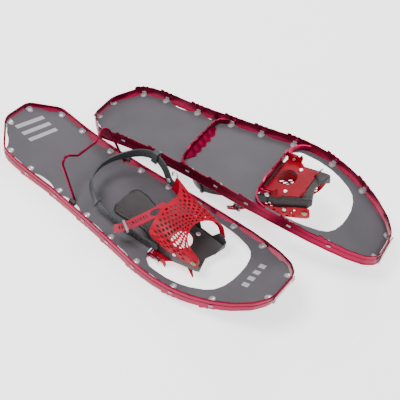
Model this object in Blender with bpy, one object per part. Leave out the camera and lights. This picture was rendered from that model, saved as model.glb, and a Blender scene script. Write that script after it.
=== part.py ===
"""A pair of technical snowshoes, modelled as separate parts.

One shoe stands upright and the other lies overturned beside it.  Each shoe is a
toothed aluminium rail bent round a fabric deck, with two toothed crossbeams, a
binding that pivots on the front crossbeam and a heel lifter that pivots on the rail.

Every part is drawn in its shoe's own frame: X runs from the tail to the nose, Y to
the shoe's left and Z up from the middle of the deck.  Lengths are in metres.
"""
import math

import bmesh
import bpy
from mathutils import Matrix, Vector

# ---- driving dimensions ---------------------------------------------------------
GAP = 0.0004              # clearance left between two pieces that touch

LENGTH = 0.635            # tail edge to nose edge
NOSE_RISE = 0.073         # how far the deck curves up to the nose
NOSE_RUN = 0.242
TAIL_RISE = 0.024
TAIL_RUN = 0.150

RAIL_THICK = 0.0032
RAIL_TOP = 0.009          # rail above the deck
RAIL_BOTTOM = -0.0150     # rail below the deck, at the tail and nose
RAIL_ROOT = -0.0165       # between the teeth
TOOTH_TIP = -0.0210       # the level that the shoe stands on
TOOTH_LEAD = 0.018        # a group of teeth starts this far behind its deck clip
TOOTH_RUN = 0.048         # length of one group of teeth

DECK_THICK = 0.0012
DECK_INSET = 0.0058       # from the rail's outer face to the deck's edge

PIVOT_X = 0.4145          # binding pivot
PIVOT_Z = -0.0060
PIVOT_RADIUS = 0.0025
EAR_Y = 0.0570            # middle of the crossbeam's pivot ears
EAR_THICK = 0.0030
FRONT_BEAM_X = 0.3965
REAR_BEAM_X = 0.2345
BEAM_THICK = 0.0030

CRAMPON_THICK = 0.0018
CRAMPON_TOP = 0.0008
CRAMPON_HALF = 0.0530
CRAMPON_FRONT = 0.4700
CLAW_REACH = 0.0150       # how far forward and down each front claw reaches
CLAW_DROP = 0.0190
FOOT_HOLE = (0.4230, 0.0040, 0.0195, 0.0215)   # middle and half sizes of the hole underfoot

FOOTBED_LOW = 0.0013
FOOTBED_THICK = 0.0030

LIFTER_PIVOT = (0.2245, 0.0042)    # X and Z of the heel lifter's pivot
LIFTER_LEG = 0.084
LIFTER_DIP = 0.0715                # where the middle of the crossbar dips to
LIFTER_WIRE = 0.0024               # radius of the wire
LIFTER_FOOT = 0.0768               # outer end of each foot
LIFTER_RAISED = math.radians(59)   # turned up from lying back on the deck
LIFTER_FOLDED = math.radians(1)

STRAP_ANCHOR = (0.4080, -0.0495, 0.0150)   # the heel strap's end on the tray's right side
STRAP_END = (0.3640, 0.0554, 0.0500)       # and its end on the cradle's left side
STRAP_THICK = 0.0028
RIVET_PLACE = (0.4380, 0.0330)             # X and Y of the two rivets under the toes
RIVET_BORE = 0.0024

OVERTURNED_ORIGIN = (0.0880, 0.1533)     # where the overturned shoe's tail lies
OVERTURNED_YAW = math.radians(6.2)
OVERTURNED_BINDING = math.radians(8)     # its binding is pushed a little nose-down
OVERTURNED_PRESS = 0.15                  # and its heel strap's rise is squashed to this share

# The rail's outer face, from the middle of the tail to the middle of the nose.
OUTLINE = (
    (0.000, 0.0305), (0.047, 0.0790), (0.080, 0.0805), (0.170, 0.0795), (0.260, 0.0860),
    (0.325, 0.0920), (0.393, 0.1000), (0.440, 0.1015), (0.478, 0.0995), (0.515, 0.0945),
    (0.551, 0.0855), (0.585, 0.0730), (0.615, 0.0560), (0.635, 0.0330),
)
CORNER_RADIUS = 0.034
# The deck clips, which also set where each group of teeth starts.
CLIP_X = (0.0525, 0.1105, 0.1850, 0.2605, 0.3250, 0.3935, 0.4785, 0.5515)
# One group of teeth: how far along it, and how far down from root to tip.
TOOTH_GROUP = ((0.00, 0.00), (0.03, 1.00), (0.16, 0.80), (0.19, 0.30), (0.34, 0.62),
               (0.38, 0.15), (0.55, 0.45), (0.60, 0.05), (0.80, 0.25), (1.00, 0.00))
# The toe opening in the deck, from the middle of its rear edge to its front.
TOE_HOLE = ((0.3935, 0.0), (0.3935, 0.056), (0.3995, 0.070), (0.4155, 0.0815), (0.4545, 0.0820),
            (0.4820, 0.0785), (0.5000, 0.0740), (0.5250, 0.0640), (0.5385, 0.0540),
            (0.5465, 0.0400), (0.5515, 0.0200), (0.5525, 0.0))

FINISHES = {
    # name: (colour, roughness, metallic)
    "red_anodised": ((0.50, 0.008, 0.045), 0.35, 0.9),
    "grey_deck": ((0.25, 0.24, 0.25), 0.75, 0.0),
    "red_steel": ((0.60, 0.005, 0.02), 0.45, 0.1),
    "red_tpu": ((0.55, 0.01, 0.03), 0.5, 0.0),
    "dark_tpu": ((0.045, 0.047, 0.05), 0.6, 0.0),
    "steel": ((0.62, 0.62, 0.63), 0.3, 1.0),
    "brass": ((0.45, 0.36, 0.16), 0.4, 1.0),
    "clear_guard": ((0.75, 0.45, 0.5), 0.3, 0.0),
}


# ---- general helpers ------------------------------------------------------------
def clear_scene():
    """Remove whatever objects the file holds."""
    for item in list(bpy.data.objects):
        bpy.data.objects.remove(item, do_unlink=True)


def finish(name, slot):
    """Return a new Principled material for one part."""
    colour, roughness, metallic = FINISHES[slot]
    material = bpy.data.materials.new(name + "_finish")
    material.use_nodes = True
    shader = material.node_tree.nodes["Principled BSDF"]
    shader.inputs["Base Color"].default_value = (*colour, 1.0)
    shader.inputs["Roughness"].default_value = roughness
    shader.inputs["Metallic"].default_value = metallic
    return material


def deck_height(x):
    """Height of the deck's middle at X: flat underfoot, curved up at both ends."""
    nose = max(0.0, (x - LENGTH + NOSE_RUN) / NOSE_RUN)
    tail = max(0.0, 1.0 - x / TAIL_RUN)
    return NOSE_RISE * nose ** 2 + TAIL_RISE * tail ** 2.5


def rounded(points, radius, steps=5, closed=True):
    """Round the corners of a polyline with arcs of one radius."""
    result = []
    count = len(points)
    for i, corner in enumerate(points):
        if not closed and i in (0, count - 1):
            result.append(Vector(corner))
            continue
        corner = Vector(corner)
        before = Vector(points[i - 1]) - corner
        after = Vector(points[(i + 1) % count]) - corner
        turn = math.pi - before.angle(after)
        if turn < math.radians(1.0):
            result.append(corner)
            continue
        reach = min(radius * math.tan(turn / 2), 0.46 * before.length, 0.46 * after.length)
        start = corner + before.normalized() * reach
        end = corner + after.normalized() * reach
        arcs = max(2, math.ceil(steps * turn / math.radians(60)))
        for k in range(arcs + 1):
            t = k / arcs
            result.append((1 - t) ** 2 * start + 2 * t * (1 - t) * corner + t ** 2 * end)
    return result


def smooth_path(points, per_span=5):
    """Points along a Catmull-Rom curve through the given points."""
    points = [Vector(p) for p in points]
    first = 2 * points[0] - points[1]
    last = 2 * points[-1] - points[-2]
    padded = [first] + points + [last]
    result = []
    for a, b, c, d in zip(padded, padded[1:], padded[2:], padded[3:]):
        for k in range(per_span):
            t = k / per_span
            result.append(0.5 * (2 * b + (c - a) * t + (2 * a - 5 * b + 4 * c - d) * t ** 2
                                 + (3 * b - 3 * c + d - a) * t ** 3))
    result.append(points[-1])
    return result


def make_object(name, slot, bm, parent, smooth=None):
    """Turn a bmesh into a named object with its own finish, under a parent empty.

    Under an empty marked as mirrored, left and right are swapped.
    """
    if parent["mirrored"]:
        for vert in bm.verts:
            vert.co.y = -vert.co.y
    bmesh.ops.recalc_face_normals(bm, faces=bm.faces)
    if bm.calc_volume(signed=True) < 0.0:
        bmesh.ops.reverse_faces(bm, faces=bm.faces)
    mesh = bpy.data.meshes.new(name)
    bm.to_mesh(mesh)
    bm.free()
    if smooth is not None:
        mesh.shade_smooth()
        mesh.set_sharp_from_angle(angle=math.radians(smooth))
    mesh.materials.append(finish(name, slot))
    item = bpy.data.objects.new(name, mesh)
    bpy.context.scene.collection.objects.link(item)
    item.parent = parent
    mesh.transform(Matrix.Translation(-Vector(parent["anchor"])))
    return item


def rings_solid(rings, closed=False):
    """A solid skinned over rings of points; its ends are capped unless closed."""
    bm = bmesh.new()
    loops = [[bm.verts.new(p) for p in ring] for ring in rings]
    spans = list(zip(loops, loops[1:]))
    if closed:
        spans.append((loops[-1], loops[0]))
    for near, far in spans:
        for k in range(len(near)):
            j = (k + 1) % len(near)
            bm.faces.new((near[k], near[j], far[j], far[k]))
    if not closed:
        bm.faces.new(loops[0])
        bm.faces.new(loops[-1])
    return bm


def plate(outline, thickness, to_space, holes=()):
    """A flat plate with holes, drawn in its own plane and placed by to_space(u, v, w)."""
    bm = bmesh.new()
    edges = []
    for loop in (outline, *holes):
        verts = [bm.verts.new((p[0], p[1], 0.0)) for p in loop]
        edges += [bm.edges.new((verts[k - 1], verts[k])) for k in range(len(verts))]
    bmesh.ops.triangle_fill(bm, use_beauty=True, edges=edges, normal=(0, 0, 1))
    top = bmesh.ops.extrude_face_region(bm, geom=list(bm.faces))
    for item in top["geom"]:
        if isinstance(item, bmesh.types.BMVert):
            item.co.z = thickness
    for vert in bm.verts:
        vert.co = to_space(*vert.co)
    return bm


def circle(centre, radius, steps=16):
    """A polygon round a centre."""
    return [(centre[0] + radius * math.cos(2 * math.pi * k / steps),
             centre[1] + radius * math.sin(2 * math.pi * k / steps)) for k in range(steps)]


def tube_rings(path, radius, sides=10):
    """Rings of a round bar along a path, turned without twist."""
    rings = []
    side = None
    for k, point in enumerate(path):
        along = (path[min(k + 1, len(path) - 1)] - path[max(k - 1, 0)]).normalized()
        if side is None:
            side = along.orthogonal().normalized()
        side = (side - side.dot(along) * along).normalized()
        up = along.cross(side)
        rings.append([point + radius * (math.cos(a) * side + math.sin(a) * up)
                      for a in (2 * math.pi * s / sides for s in range(sides))])
    return rings


def band_rings(path, widths, thickness, wide):
    """Rings of a flat strap; wide(k) gives the direction of its width at point k."""
    rings = []
    for k, point in enumerate(path):
        along = (path[min(k + 1, len(path) - 1)] - path[max(k - 1, 0)]).normalized()
        across = Vector(wide(k))
        across = (across - across.dot(along) * along).normalized()
        out = along.cross(across)
        half = 0.5 * widths(k / (len(path) - 1))
        rings.append([point + across * (half * s) + out * (0.5 * thickness * t)
                      for s, t in ((-1, -1), (1, -1), (1, 1), (-1, 1))])
    return rings


def turned(profile, centre, axis, steps=16):
    """A solid turned from (distance along the axis, radius) pairs; ends are closed."""
    axis = Vector(axis).normalized()
    side = axis.orthogonal().normalized()
    up = axis.cross(side)
    centre = Vector(centre)
    rings = [[centre + axis * d + r * (math.cos(a) * side + math.sin(a) * up)
              for a in (2 * math.pi * s / steps for s in range(steps))] for d, r in profile]
    return rings_solid(rings)


def slab(low, high, bevel=0.0):
    """A box between two corners, with its edges bevelled."""
    bm = bmesh.new()
    size = Vector(high) - Vector(low)
    middle = (Vector(high) + Vector(low)) / 2
    bmesh.ops.create_cube(bm, size=1.0, matrix=Matrix.Translation(middle) @ Matrix.Diagonal((*size, 1)))
    if bevel:
        bmesh.ops.bevel(bm, geom=list(bm.edges), offset=bevel, segments=2, affect="EDGES", profile=0.5)
    return bm


def empty(name, location, parent, anchor=(0.0, 0.0, 0.0), mirrored=False):
    """An empty on a joint axis; anchor is its place in the shoe's frame."""
    item = bpy.data.objects.new(name, None)
    bpy.context.scene.collection.objects.link(item)
    item.parent = parent
    item.location = location
    item["anchor"] = tuple(anchor)
    item["mirrored"] = mirrored
    return item


# ---- outlines shared by the rail and the deck -----------------------------------
def outer_line():
    """The rail's outer face as a closed loop of (X, Y), rounded at its bends."""
    left = [(x, y) for x, y in OUTLINE]
    right = [(x, -y) for x, y in reversed(OUTLINE)]
    return rounded(left + right, CORNER_RADIUS)


def inward(loop, k):
    """Unit direction into the loop at its point k (the loop runs clockwise)."""
    along = (loop[(k + 1) % len(loop)] - loop[k - 1]).normalized()
    return Vector((along.y, -along.x))


def inset(loop, distance):
    """The loop moved inward by a distance."""
    return [p + inward(loop, k) * distance for k, p in enumerate(loop)]


def tooth_depth(x):
    """Bottom edge of the rail at X, measured from the deck."""
    depth = RAIL_BOTTOM if x < CLIP_X[0] - TOOTH_LEAD else RAIL_ROOT
    for clip in CLIP_X:
        t = (x - clip + TOOTH_LEAD) / TOOTH_RUN
        if 0.0 <= t <= 1.0:
            for (t0, d0), (t1, d1) in zip(TOOTH_GROUP, TOOTH_GROUP[1:]):
                if t0 <= t <= t1:
                    share = d0 + (d1 - d0) * (t - t0) / (t1 - t0)
                    return RAIL_ROOT + (TOOTH_TIP - RAIL_ROOT) * share
    return depth


# ---- frame parts ----------------------------------------------------------------
def rail_loop():
    """The outer line with a point added at every corner of every tooth."""
    base = outer_line()
    marks = [clip - TOOTH_LEAD + t * TOOTH_RUN for clip in CLIP_X for t, _ in TOOTH_GROUP]
    loop = []
    for k, point in enumerate(base):
        following = base[(k + 1) % len(base)]
        loop.append(point)
        low, high = sorted((point.x, following.x))
        inside = [m for m in marks if low + 1e-4 < m < high - 1e-4 and abs(point.y) > 0.035]
        for mark in sorted(inside, reverse=point.x > following.x):
            share = (mark - point.x) / (following.x - point.x)
            loop.append(point.lerp(following, share))
    return loop


def frame_rail(name, parent):
    """The toothed aluminium blade all round the shoe."""
    loop = rail_loop()
    inner = inset(loop, RAIL_THICK)
    rings = []
    for out, inn in zip(loop, inner):
        level = deck_height(out.x)
        top = level + RAIL_TOP
        bottom = level + tooth_depth(out.x)
        rings.append([(out.x, out.y, top), (inn.x, inn.y, top),
                      (inn.x, inn.y, bottom), (out.x, out.y, bottom)])
    return make_object(name, "red_anodised", rings_solid(rings, closed=True), parent)


def toe_hole():
    """The toe opening as a closed loop."""
    half = [(x, y) for x, y in TOE_HOLE]
    other = [(x, -y) for x, y in reversed(TOE_HOLE[1:-1])]
    return rounded(half + other, 0.016, steps=3)


def deck(name, parent):
    """The coated fabric sheet laced inside the rail, curved up at both ends."""
    edge = inset(rounded([(x, y) for x, y in OUTLINE] + [(x, -y) for x, y in reversed(OUTLINE)],
                         CORNER_RADIUS, steps=3), DECK_INSET)
    bm = bmesh.new()
    edges = []
    for loop in (edge, toe_hole()):
        verts = [bm.verts.new((p[0], p[1], 0.0)) for p in loop]
        edges += [bm.edges.new((verts[k - 1], verts[k])) for k in range(len(verts))]
    bmesh.ops.triangle_fill(bm, use_beauty=True, edges=edges, normal=(0, 0, 1))
    cuts = (0.025, 0.055, 0.095, 0.43, 0.465, 0.50, 0.535, 0.57, 0.60)
    for x in cuts:
        bmesh.ops.bisect_plane(bm, geom=bm.verts[:] + bm.edges[:] + bm.faces[:], dist=1e-6,
                               plane_co=(x, 0, 0), plane_no=(1, 0, 0))
    top = bmesh.ops.extrude_face_region(bm, geom=list(bm.faces))
    raised = {item for item in top["geom"] if isinstance(item, bmesh.types.BMVert)}
    for vert in bm.verts:
        side = 0.5 if vert in raised else -0.5
        vert.co.z = deck_height(vert.co.x) + side * DECK_THICK
    return make_object(name, "grey_deck", bm, parent)


def half_width(x):
    """Half the rail's outer width at X."""
    for (x0, y0), (x1, y1) in zip(OUTLINE, OUTLINE[1:]):
        if x0 <= x <= x1:
            return y0 + (y1 - y0) * (x - x0) / (x1 - x0)
    return 0.0


def beam_reach(beam_x, reach):
    """How far out a crossbeam's middle line may go before it meets the rail."""
    narrow = min(half_width(beam_x), half_width(beam_x + reach))
    return narrow - RAIL_THICK - BEAM_THICK / 2 - 2 * GAP


def beam_path(beam_x, reach, half_straight, rail_y):
    """Plan of a crossbeam: straight in the middle, curving forward along the rail."""
    side = [(beam_x, half_straight), (beam_x + 0.18 * reach, half_straight + 0.014),
            (beam_x + 0.50 * reach, rail_y - 0.006), (beam_x + reach, rail_y)]
    corners = [(x, -y) for x, y in reversed(side)] + side
    return rounded(corners, 0.020, steps=4, closed=False)


def beam_rings(path, top, root, teeth):
    """Rings of a crossbeam blade; teeth are (Y, depth) pairs along its bottom edge."""
    points = []
    for a, b in zip(path, path[1:]):
        points.append(a)
        inside = [y for y, _ in teeth if min(a.y, b.y) + 1e-4 < y < max(a.y, b.y) - 1e-4]
        points += [a.lerp(b, (y - a.y) / (b.y - a.y)) for y in sorted(inside, reverse=b.y < a.y)]
    points.append(path[-1])
    rings = []
    for k, point in enumerate(points):
        along = (points[min(k + 1, len(points) - 1)] - points[max(k - 1, 0)]).normalized()
        side = Vector((along.y, -along.x)) * (BEAM_THICK / 2)
        bottom = root
        for (y0, d0), (y1, d1) in zip(teeth, teeth[1:]):
            if y0 <= point.y <= y1:
                bottom = d0 + (d1 - d0) * (point.y - y0) / (y1 - y0)
        rings.append([(point.x + side.x, point.y + side.y, top), (point.x - side.x, point.y - side.y, top),
                      (point.x - side.x, point.y - side.y, bottom),
                      (point.x + side.x, point.y + side.y, bottom)])
    return rings


def stepped_teeth(tip, root):
    """The crossbeams' teeth: a tall one off centre, then steps to each side."""
    drop = tip - root
    shares = ((-0.062, 0.0), (-0.058, 0.35), (-0.046, 0.45), (-0.044, 0.15), (-0.030, 0.55),
              (-0.028, 0.25), (-0.012, 0.7), (-0.010, 0.45), (0.004, 0.85), (0.006, 0.55),
              (0.018, 0.75), (0.021, 1.0), (0.034, 1.0), (0.042, 0.30), (0.062, 0.0))
    return [(y, root + drop * share) for y, share in shares]


def union_with(item, tool):
    """Join a tool's shape to an object; the tool itself is only a guide."""
    tool.hide_render = True
    tool.display_type = "WIRE"
    joint = item.modifiers.new("join_" + tool.name, "BOOLEAN")
    joint.operation = "UNION"
    joint.object = tool


def front_crossbeam(name, parent):
    """The toothed beam at the toe opening, with two ears for the binding's pins."""
    top = -DECK_THICK / 2 - 3 * GAP
    rail_y = beam_reach(FRONT_BEAM_X, 0.032)
    path = beam_path(FRONT_BEAM_X, 0.032, 0.064, rail_y)
    rings = beam_rings(path, top, -0.0125, stepped_teeth(-0.0200, -0.0125))
    beam = make_object(name, "red_anodised", rings_solid(rings), parent)
    ear = rounded([(FRONT_BEAM_X + 0.0004, top - 0.0002), (PIVOT_X + 0.004, top - 0.0002),
                   (PIVOT_X + 0.0075, PIVOT_Z), (PIVOT_X + 0.004, -0.0120),
                   (FRONT_BEAM_X + 0.0004, -0.0120)], 0.003, steps=2)
    for side in (-1, 1):
        low = side * EAR_Y - EAR_THICK / 2
        shape = plate(ear, EAR_THICK, lambda u, v, w, low=low: Vector((u, low + w, v)),
                      holes=[circle((PIVOT_X, PIVOT_Z), PIVOT_RADIUS + GAP)])
        union_with(beam, make_object(f"{name}_ear{side}", "red_anodised", shape, parent))
    return beam


def rear_crossbeam(name, parent):
    """The toothed beam under the heel."""
    top = -DECK_THICK / 2 - 3 * GAP
    rail_y = beam_reach(REAR_BEAM_X, 0.022)
    path = beam_path(REAR_BEAM_X, 0.022, 0.056, rail_y)
    rings = beam_rings(path, top, -0.0125, stepped_teeth(-0.0200, -0.0125))
    return make_object(name, "red_anodised", rings_solid(rings), parent)


def nose_guard(name, parent):
    """The clear bumper strip over the outside of the nose."""
    half = 0.0300
    low, high = -0.0080, 0.0070
    x = LENGTH + GAP
    level = deck_height(LENGTH)
    bm = slab((x, -half, level + low), (x + 0.0016, half, level + high), bevel=0.0005)
    return make_object(name, "clear_guard", bm, parent)


def pivot_pin(name, side, parent):
    """A headed pin through the crossbeam's ear and the crampon's flange."""
    start = CRAMPON_HALF - CRAMPON_THICK - 0.0030
    head = EAR_Y + EAR_THICK / 2 + GAP
    profile = ((start, PIVOT_RADIUS), (head, PIVOT_RADIUS), (head + 0.0001, 0.0046),
               (head + 0.0018, 0.0046), (head + 0.0026, 0.0034))
    bm = turned(profile, (PIVOT_X, 0.0, PIVOT_Z), (0, side, 0))
    return make_object(name, "steel", bm, parent, smooth=40)


# ---- binding parts --------------------------------------------------------------
def crampon(name, parent):
    """The red steel plate under the foot: side flanges with teeth and two front claws."""
    low = CRAMPON_TOP - CRAMPON_THICK
    half = CRAMPON_HALF
    left_side = [(0.4000, half), (0.4300, half), (0.4400, 0.0440), (0.4640, 0.0400),
                 (CRAMPON_FRONT, 0.0360)]
    right_side = [(0.4000, -half), (0.4300, -half), (0.4400, -0.0440), (0.4640, -0.0370),
                  (CRAMPON_FRONT, -0.0358)]
    outline = rounded(right_side + left_side[::-1], 0.006, steps=2)
    body = plate(outline, CRAMPON_THICK, lambda u, v, w: Vector((u, v, low + w)),
                 holes=[foot_hole(0.0)] + [circle((RIVET_PLACE[0], side * RIVET_PLACE[1]), RIVET_BORE, 12)
                                           for side in (-1, 1)])
    item = make_object(name, "red_steel", body, parent)
    flange = [(0.4010, CRAMPON_TOP - 0.0003), (0.4290, CRAMPON_TOP - 0.0003), (0.4330, -0.0110),
              (0.4310, -0.0200), (0.4250, -0.0130), (0.4180, -0.0125), (0.4100, -0.0130),
              (0.4058, -0.0190), (0.4010, -0.0110)]
    slope = Vector((CLAW_REACH, 0.0, -CLAW_DROP))
    lift = Vector((CLAW_DROP, 0.0, CLAW_REACH)).normalized()
    start = Vector((CRAMPON_FRONT - 0.0022, 0.0, CRAMPON_TOP - 0.0001))
    for side in (-1, 1):
        face = side * (half - CRAMPON_THICK / 2) - CRAMPON_THICK / 2
        shape = plate(flange, CRAMPON_THICK, lambda u, v, w, face=face: Vector((u, face + w, v)),
                      holes=[circle((PIVOT_X, PIVOT_Z), PIVOT_RADIUS + GAP)])
        union_with(item, make_object(f"{name}_flange{side}", "red_steel", shape, parent))
        claw = [(side * 0.0240, 0.0), (side * 0.0330, 1.0), (side * 0.0350, 1.0), (side * 0.0355, 0.0)]
        shape = plate(claw, CRAMPON_THICK,
                      lambda u, v, w: start + slope * v - lift * w + Vector((0.0, u, 0.0)))
        union_with(item, make_object(f"{name}_claw{side}", "red_steel", shape, parent))
    return item


def foot_hole(margin):
    """The oval hole under the ball of the foot, widened by a margin."""
    x, y, half_x, half_y = FOOT_HOLE
    return [(x + (half_x + margin) * math.cos(2 * math.pi * k / 24),
             y + (half_y + margin) * math.sin(2 * math.pi * k / 24)) for k in range(24)]


def cut_with(item, tool):
    """Cut a tool's shape out of an object; the tool itself is only a guide."""
    tool.hide_render = True
    tool.display_type = "WIRE"
    cut = item.modifiers.new(tool.name, "BOOLEAN")
    cut.operation = "DIFFERENCE"
    cut.object = tool


def drill(item, parent, centre, axis, radius):
    """Cut a round hole right through an object; the cutter is only a guide."""
    bore = turned(((-0.012, radius), (0.012, radius)), centre, axis, steps=12)
    cut_with(item, make_object(f"{item.name}_bore{len(item.modifiers)}", "steel", bore, parent))


def footbed(name, parent):
    """The moulded tray under the foot, with raised sides beside the toes."""
    # X, then how far out and how high the right side reaches, then the left side
    sections = ((0.2840, 0.0230, 0.0045, 0.0230, 0.0045), (0.2880, 0.0320, 0.0050, 0.0320, 0.0050),
                (0.2960, 0.0365, 0.0055, 0.0365, 0.0055), (0.3150, 0.0355, 0.0060, 0.0355, 0.0060),
                (0.3400, 0.0290, 0.0060, 0.0290, 0.0060), (0.3650, 0.0310, 0.0060, 0.0310, 0.0060),
                (0.3860, 0.0400, 0.0080, 0.0400, 0.0080), (0.4050, 0.0465, 0.0200, 0.0465, 0.0200),
                (0.4250, 0.0470, 0.0320, 0.0475, 0.0300), (0.4340, 0.0455, 0.0330, 0.0475, 0.0060),
                (0.4600, 0.0400, 0.0300, 0.0475, 0.0060), (0.4740, 0.0365, 0.0280, 0.0475, 0.0280),
                (0.4840, 0.0345, 0.0220, 0.0470, 0.0250), (0.4920, 0.0305, 0.0150, 0.0450, 0.0190))
    wall = 0.0026
    notch = 0.0110        # how far the middle of the front edge is set back
    rings = []
    for x, right_y, right, left_y, left in sections:
        base = FOOTBED_LOW
        floor = FOOTBED_LOW + FOOTBED_THICK
        inset_x = notch * max(0.0, (x - 0.4600) / 0.0300)
        rings.append([Vector((x - (inset_x if y == 0.0 else 0.0), y, z)) for y, z in (
            (-right_y, base), (0.0, base), (left_y, base), (left_y, base + left),
            (left_y - wall, base + left), (left_y - wall, floor), (0.0, floor), (wall - right_y, floor),
            (wall - right_y, base + right), (-right_y, base + right))])
    bm = rings_solid(rings)
    bmesh.ops.triangulate(bm, faces=bm.faces)
    item = make_object(name, "dark_tpu", bm, parent)
    hole = plate(foot_hole(0.0012), 0.0100, lambda u, v, w: Vector((u, v, w - 0.0020)))
    cut_with(item, make_object(name + "_foot_hole", "steel", hole, parent))
    for side in (-1, 1):
        drill(item, parent, (RIVET_PLACE[0], side * RIVET_PLACE[1], 0.003), (0, 0, 1), RIVET_BORE)
    return item


CRADLE_ROWS = (
    # From the shoe's right side over the toes to its left; each row runs backward.
    ((0.488, -0.0370, 0.020), (0.460, -0.0430, 0.022), (0.428, -0.0500, 0.0285), (0.386, -0.0500, 0.036)),
    ((0.486, -0.0365, 0.044), (0.458, -0.0425, 0.047), (0.424, -0.0485, 0.050), (0.384, -0.0470, 0.048)),
    ((0.453, -0.0290, 0.057), (0.436, -0.0290, 0.060), (0.411, -0.0290, 0.062), (0.380, -0.0290, 0.059)),
    ((0.440, 0.0000, 0.062), (0.424, 0.0000, 0.065), (0.402, 0.0000, 0.067), (0.374, 0.0000, 0.064)),
    ((0.450, 0.0280, 0.062), (0.430, 0.0300, 0.066), (0.401, 0.0330, 0.069), (0.366, 0.0360, 0.076)),
    ((0.471, 0.0480, 0.049), (0.446, 0.0505, 0.053), (0.406, 0.0520, 0.059), (0.358, 0.0520, 0.083)),
    ((0.486, 0.0490, 0.020), (0.458, 0.0505, 0.020), (0.424, 0.0510, 0.022), (0.352, 0.0520, 0.044)),
)
CRADLE_THICK = 0.0020
SIDE_WINDOW = ((0.4340, 0.0400, 0.0100), (0.4730, 0.0700, 0.0360))   # opening in its left side


def cradle_point(u, v):
    """A point on the cradle's middle surface: u across the foot, v backward."""
    rows = [smooth_path(row, 8) for row in CRADLE_ROWS]
    across = [row[round(v * (len(row) - 1))] for row in rows]
    return smooth_path(across, 4)[round(u * 4 * (len(across) - 1))]


def toe_cradle(name, parent):
    """The flexible shell that wraps over the toes, fastened to the tray's sides."""
    steps_u = 4 * (len(CRADLE_ROWS) - 1)
    steps_v = 12
    grid = [[cradle_point(i / steps_u, j / steps_v) for j in range(steps_v + 1)]
            for i in range(steps_u + 1)]
    rings = []
    for i, row in enumerate(grid):
        before, after = grid[max(i - 1, 0)], grid[min(i + 1, steps_u)]
        inner, outer = [], []
        for j, point in enumerate(row):
            along_u = after[j] - before[j]
            along_v = row[min(j + 1, steps_v)] - row[max(j - 1, 0)]
            normal = along_v.cross(along_u).normalized() * (CRADLE_THICK / 2)
            outer.append(point + normal)
            inner.append(point - normal)
        rings.append(outer + inner[::-1])
    item = make_object(name, "red_tpu", rings_solid(rings), parent, smooth=40)
    cut_with(item, make_object(name + "_window", "steel", slab(*SIDE_WINDOW), parent))
    return item


TOE_STRAP_PATH = ((0.3790, 0.0040, 0.0595), (0.3711, -0.0192, 0.0560), (0.3634, -0.0416, 0.0540),
                  (0.3544, -0.0632, 0.0500), (0.3455, -0.0794, 0.0460), (0.3359, -0.0885, 0.0430))
TOE_STRAP_THICK = 0.0024
TUCK_FROM = -0.0400       # the strap's free end is tucked in beyond this Y


def toe_strap(name, parent, tuck):
    """The ladder strap from the cradle's rear edge over its right side; tuck shortens its reach."""
    path = smooth_path([(x, TUCK_FROM + (y - TUCK_FROM) * tuck if y < TUCK_FROM else y, z)
                        for x, y, z in TOE_STRAP_PATH], 4)
    rings = band_rings(path, lambda t: 0.018 - 0.005 * t, TOE_STRAP_THICK, lambda k: (1, 0.25, 0.1))
    return make_object(name, "red_tpu", rings_solid(rings), parent)


def strap_keeper(name, parent, centre, size, slot, turn):
    """A flat loop round a strap, standing clear of it on all sides."""
    width, height, length = size
    wall = 0.0016
    outline = [(-width / 2 - wall, -height / 2 - wall), (width / 2 + wall, -height / 2 - wall),
               (width / 2 + wall, height / 2 + wall), (-width / 2 - wall, height / 2 + wall)]
    hole = [(-width / 2, -height / 2), (width / 2, -height / 2), (width / 2, height / 2),
            (-width / 2, height / 2)]
    frame = Matrix.Translation(centre) @ turn.to_4x4()
    bm = plate(outline, length, lambda u, v, w: frame @ Vector((u, v, w - length / 2)), holes=[hole])
    return make_object(name, slot, bm, parent)


def rivet_head(name, parent, centre, axis, radius=0.0042, slot="steel"):
    """The domed head of a rivet or bolt, standing on the face it clamps."""
    profile = ((0.0, radius), (0.0008, radius), (0.0015, radius * 0.82), (0.0020, radius * 0.45))
    return make_object(name, slot, turned(profile, centre, axis), parent, smooth=50)


def binding_rivet(name, side, parent):
    """The rivet that clamps the tray to the crampon, with a head at each end."""
    top = FOOTBED_LOW + FOOTBED_THICK + GAP
    bottom = CRAMPON_TOP - CRAMPON_THICK - GAP
    shank = 0.0020
    profile = ((bottom - 0.0012, 0.0030), (bottom - 0.0004, 0.0040), (bottom, 0.0040),
               (bottom + 0.0001, shank), (top - 0.0001, shank), (top, 0.0048),
               (top + 0.0006, 0.0048), (top + 0.0014, 0.0034))
    x, y = RIVET_PLACE
    bm = turned(profile, (x, side * y, 0.0), (0, 0, 1))
    return make_object(name, "steel", bm, parent, smooth=50)


# From the tray's right side, behind the heel and up to the cradle's left side.
HEEL_PATH = (STRAP_ANCHOR, (0.3720, -0.0560, 0.0160), (0.3320, -0.0600, 0.0200),
             (0.2960, -0.0640, 0.0290), (0.2640, -0.0600, 0.0400), (0.2360, -0.0400, 0.0450),
             (0.2240, -0.0080, 0.0460), (0.2280, 0.0220, 0.0500), (0.2460, 0.0450, 0.0600),
             (0.2720, 0.0590, 0.0750), (0.3000, 0.0620, 0.0840), (0.3250, 0.0600, 0.0740),
             (0.3410, 0.0570, 0.0570), STRAP_END)
STRAP_SPAN = 4            # steps between two points of the strap's path
RIVET_STEP = STRAP_SPAN * (len(HEEL_PATH) - 2)
BUCKLE_STEP = STRAP_SPAN * 10
KEEPER_STEP = STRAP_SPAN * 4 - 1
# Width, thickness and length of the openings the strap runs through.
BUCKLE_OPENING = (0.0225, 0.0070, 0.0120)
KEEPER_OPENING = (0.0215, 0.0052, 0.0060)


def heel_path(press):
    """The strap's middle line; press squashes its rise above the line between its ends."""
    points = []
    for k, (x, y, z) in enumerate(HEEL_PATH):
        level = STRAP_ANCHOR[2] + (STRAP_END[2] - STRAP_ANCHOR[2]) * k / (len(HEEL_PATH) - 1)
        points.append((x, y, level + (z - level) * press))
    return smooth_path(points, STRAP_SPAN)


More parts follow.
